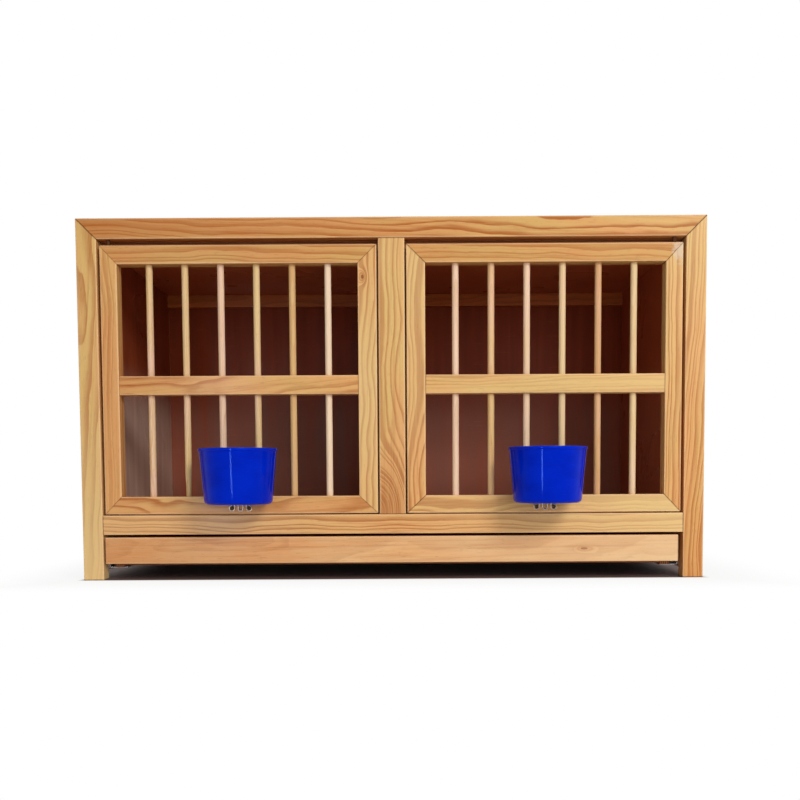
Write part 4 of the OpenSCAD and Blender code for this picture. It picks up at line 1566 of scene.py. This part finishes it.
        # painted shadow: where this is 0, under the cage and in the inner lee, the floor takes the shade
        # colour
        clear_of_painted_shadow = w.times(w.spread(out, -self.contact, 0.0), clear)
        top = w.shade(Base_Color=w.coats(self.shade, (clear_of_painted_shadow, w.coats(self.pale[0], (grit, self.pale[1])))),
                      Roughness=0.7)
        w.show(w.add("ShaderNodeMixShader", {0: w.times(w.seen(), w.times(far, clear)), 1: top,
                                             2: w.add("ShaderNodeEmission", {})}))
        mesh.materials.append(material)


def left_door() -> Door:
    """Returns the left door: a knot high on its meeting stile, a sweeping middle rail and a shaved bar."""
    low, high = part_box("left_meeting_stile")
    knot = Blemish((between(low.x, high.x, 0.25), high.z - 41 * MM), (1.4 * MM, 2.4 * MM), 0.7)
    return Door(
        Side.LEFT,
        # each Timber's light (its fifth value) pales or darkens the stick, partly as painted light and shade
        timbers=dict(
            hinge_stile=Timber((0.07, 0.05), (0.01, 0.0), 0.55, (0.9, 0.9, 0.7), (-0.06, -0.1, 0.04), 2.0),
            meeting_stile=Timber((0.03, 0.045), (0.03, 0.01), 0.95, (0.4, 0.5, 0.5), (0.22, 0.46, 0.12), 6.0),
            door_head=Timber((0.05, 0.03), (-0.02, 0.0), 0.95, (0.6, 0.3, 0.2), (-0.28, -0.27, -0.22), 8.0),
            door_foot=Timber((-0.02, 0.05), (0.05, 0.02), 0.9, (0.9, 0.9, 0.6), (-0.08, -0.14, -0.1), 4.0),
            mid_rail=Timber((-0.02, 0.03), (0.1, 0.02), 0.9, (0.8, 0.7, 0.8), (-0.28, -0.06, -0.02), 15.0)),
        marred={"meeting_stile": {"knot": knot}},
        bar_tones=((0.5, 0.0), (0.1, 0.0), (1.0, 0.15), (0.0, 0.05), (0.1, -0.35), (1.0, 0.6)),
        seam=0.35,
        shaved={1: 36 * MM})


def right_door() -> Door:
    """Returns the right door, with a smear of filler on its upper outer mitre."""
    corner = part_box("right_door_head")[1]
    filler = Blemish((corner.x - 5 * MM, corner.z - 9 * MM), (8 * MM, 14 * MM), 0.8)
    return Door(
        Side.RIGHT,
        # each Timber's light (its fifth value) pales or darkens the stick, partly as painted light and shade
        timbers=dict(
            hinge_stile=Timber((0.05, 0.02), (0.01, 0.0), 1.0, (0.8, 0.6, 0.4), (0.0, 0.12, 0.34), 21.0),
            meeting_stile=Timber((0.04, 0.05), (0.02, 0.01), 0.9, (0.8, 0.5, 0.1), (0.0, 0.26, 0.44), 24.0),
            door_head=Timber((0.04, 0.04), (-0.02, 0.0), 0.85, (0.6, 0.2, 0.1), (-0.28, -0.24, -0.2), 18.0),
            door_foot=Timber((0.03, 0.06), (0.02, 0.0), 0.8, (0.5, 0.3, 0.2), (0.18, 0.3, 0.64), 13.0),
            mid_rail=Timber((0.06, 0.05), (0.02, 0.0), 0.6, (0.6, 0.3, 0.2), (0.04, 0.2, 0.38), 16.0)),
        marred={name: {"filler": filler} for name in ("door_head", "hinge_stile")},
        bar_tones=((1.0, 0.25), (0.3, -0.2), (0.8, 0.25), (0.0, 0.2), (0.5, -0.5), (0.1, 0.2)))


def main() -> None:
    """Builds every sub-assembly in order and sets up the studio."""
    shop = Shop()
    for part in (FrontFrame(), Carcass(), Panels(), SlattedFloor(), Fittings(), left_door(), right_door(),
                 CupBracket(Side.LEFT), CupBracket(Side.RIGHT), FeedingCup(Side.LEFT), FeedingCup(Side.RIGHT),
                 Drawer(), Runners()):
        LOG.info("building %s", type(part).__name__)
        part.build(shop)
    Studio().build()


if __name__ == "__main__":
    logging.basicConfig(level=logging.INFO, format="%(name)s %(message)s")
    main()
